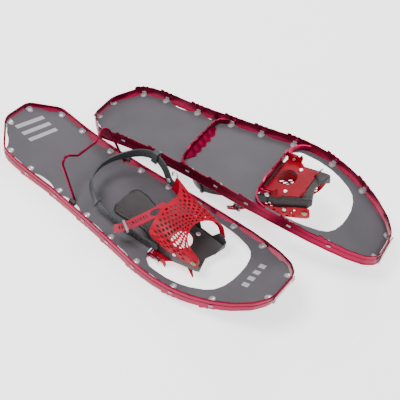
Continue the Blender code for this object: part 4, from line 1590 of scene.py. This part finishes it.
# ---- the CAD nodes that stay ----------------------------------------------------
KEPT = {
    "front_crossbeam": "rail", "rear_crossbeam": "rail", "nose_guard": "guard",
    "pivot_pin_port": "steel", "pivot_pin_starboard": "steel", "lifter_bracket_port": "dark",
    "lifter_bracket_starboard": "dark", "crampon": "crampon", "toe_bolt": "brass",
    "cradle_rivet": "steel", "binding_rivet_port": "steel", "binding_rivet_starboard": "steel",
    "heel_buckle": "dark", "heel_keeper": "dark", "heel_rivet": "steel",
}


def refinish(side: Side, palette: Palette) -> None:
    """Give every CAD node that still shows its finish.

    Args:
        side: which shoe.
        palette: the finishes.
    """
    for node, key in KEPT.items():
        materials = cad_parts[f"{side.value}_{node}"].data.materials
        if not materials:
            materials.append(palette[key])
        for k in range(len(materials)):
            materials[k] = palette[key]
        LOG.info("%s_%s: kept from the CAD", side.value, node)


@dataclass
class Shoe:
    """One whole snowshoe."""

    placement: Placement
    palette: Palette

    def build(self) -> int:
        """Make every piece of the shoe.

        Returns:
            How many pieces were made.
        """
        maker = Maker(self.placement, self.palette)
        for kind in (Rail, Deck, DeckClips, Tray, Cradle):
            kind(maker).build()
        strap = toe_strap(maker)
        strap.build("toe_strap", Body.BINDING, "toe_strap", "red_tpu")
        StrapKeeper(maker, strap).build()
        heel_strap(maker).build("dark", Body.HEEL_LOOP, "heel_strap", "dark_tpu")
        for kind in (TabHook, BeamFace, Lifter):
            kind(maker).build()
        refinish(self.placement.side, self.palette)
        return maker.count


# ---- the studio -----------------------------------------------------------------
@dataclass
class Studio:
    """Floor, lights and camera."""

    palette: Palette
    eye: tuple[float, float, float] = (0.452865, -0.815712, 1.1385)
    forward: tuple[float, float, float] = (-0.2957, 0.5635, -0.7714)
    up: tuple[float, float, float] = (-0.5534, 0.5571, 0.6192)
    lens: float = 68.02

    def floor(self) -> None:
        """A plain pale floor under the shoes."""
        mesh = bpy.data.meshes.new("studio_floor")
        mesh.from_pydata([(-4, -4, 0), (4, -4, 0), (4, 4, 0), (-4, 4, 0)], [], [(0, 1, 2, 3)])
        mesh.materials.append(self.palette["floor"])
        show("studio_floor", mesh)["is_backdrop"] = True

    def light(self, name: str, place: Point, size: float, power: float) -> None:
        """Add a soft square light aimed at the shoes.

        Args:
            name: of the light.
            place: where it hangs.
            size: of its side.
            power: in watts.
        """
        lamp = bpy.data.lights.new(name, "AREA")
        lamp.size, lamp.energy = size, power
        item = show(name, lamp)
        item.location = place
        item.rotation_euler = (-Vector(place)).to_track_quat("-Z", "Y").to_euler()

    def camera(self) -> None:
        """The camera, at the viewing angle that the shoes are usually shown from."""
        ahead, above = Vector(self.forward).normalized(), Vector(self.up).normalized()
        right = ahead.cross(above).normalized()
        turn = Matrix((right, right.cross(ahead), -ahead)).transposed().to_4x4()
        lens = bpy.data.cameras.new("camera")
        lens.lens, lens.sensor_width = self.lens, 36.0
        item = show("camera", lens)
        item.matrix_world = Matrix.Translation(self.eye) @ turn
        bpy.context.scene.camera = item

    def build(self) -> None:
        """Set the studio up."""
        self.floor()
        self.light("key", (-0.6, -0.9, 2.2), 0.9, 60.0)
        self.light("fill", (1.6, 0.6, 1.8), 2.0, 24.0)
        self.light("back", (-0.9, 1.8, 1.6), 1.0, 30.0)
        world = bpy.data.worlds.new("studio")
        world.use_nodes = True
        sky = world.node_tree.nodes["Background"]
        sky.inputs["Color"].default_value = linear("#ffffff")
        sky.inputs["Strength"].default_value = 0.4
        bpy.context.scene.world = world
        self.camera()


def corners() -> list[list[float]]:
    """The shown object's box as plain lists."""
    return [[float(c) for c in corner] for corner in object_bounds()]


def main() -> None:
    """Build both shoes and the studio, and log how many pieces each shoe has."""
    logging.basicConfig(level=logging.INFO, format="%(name)s %(message)s")
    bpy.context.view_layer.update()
    palette = Palette()
    for placement in (LEFT, RIGHT):
        count = Shoe(placement, palette).build()
        LOG.info("%s shoe: %d pieces made", placement.side.value, count)
    Studio(palette).build()


if __name__ == "__main__":
    main()
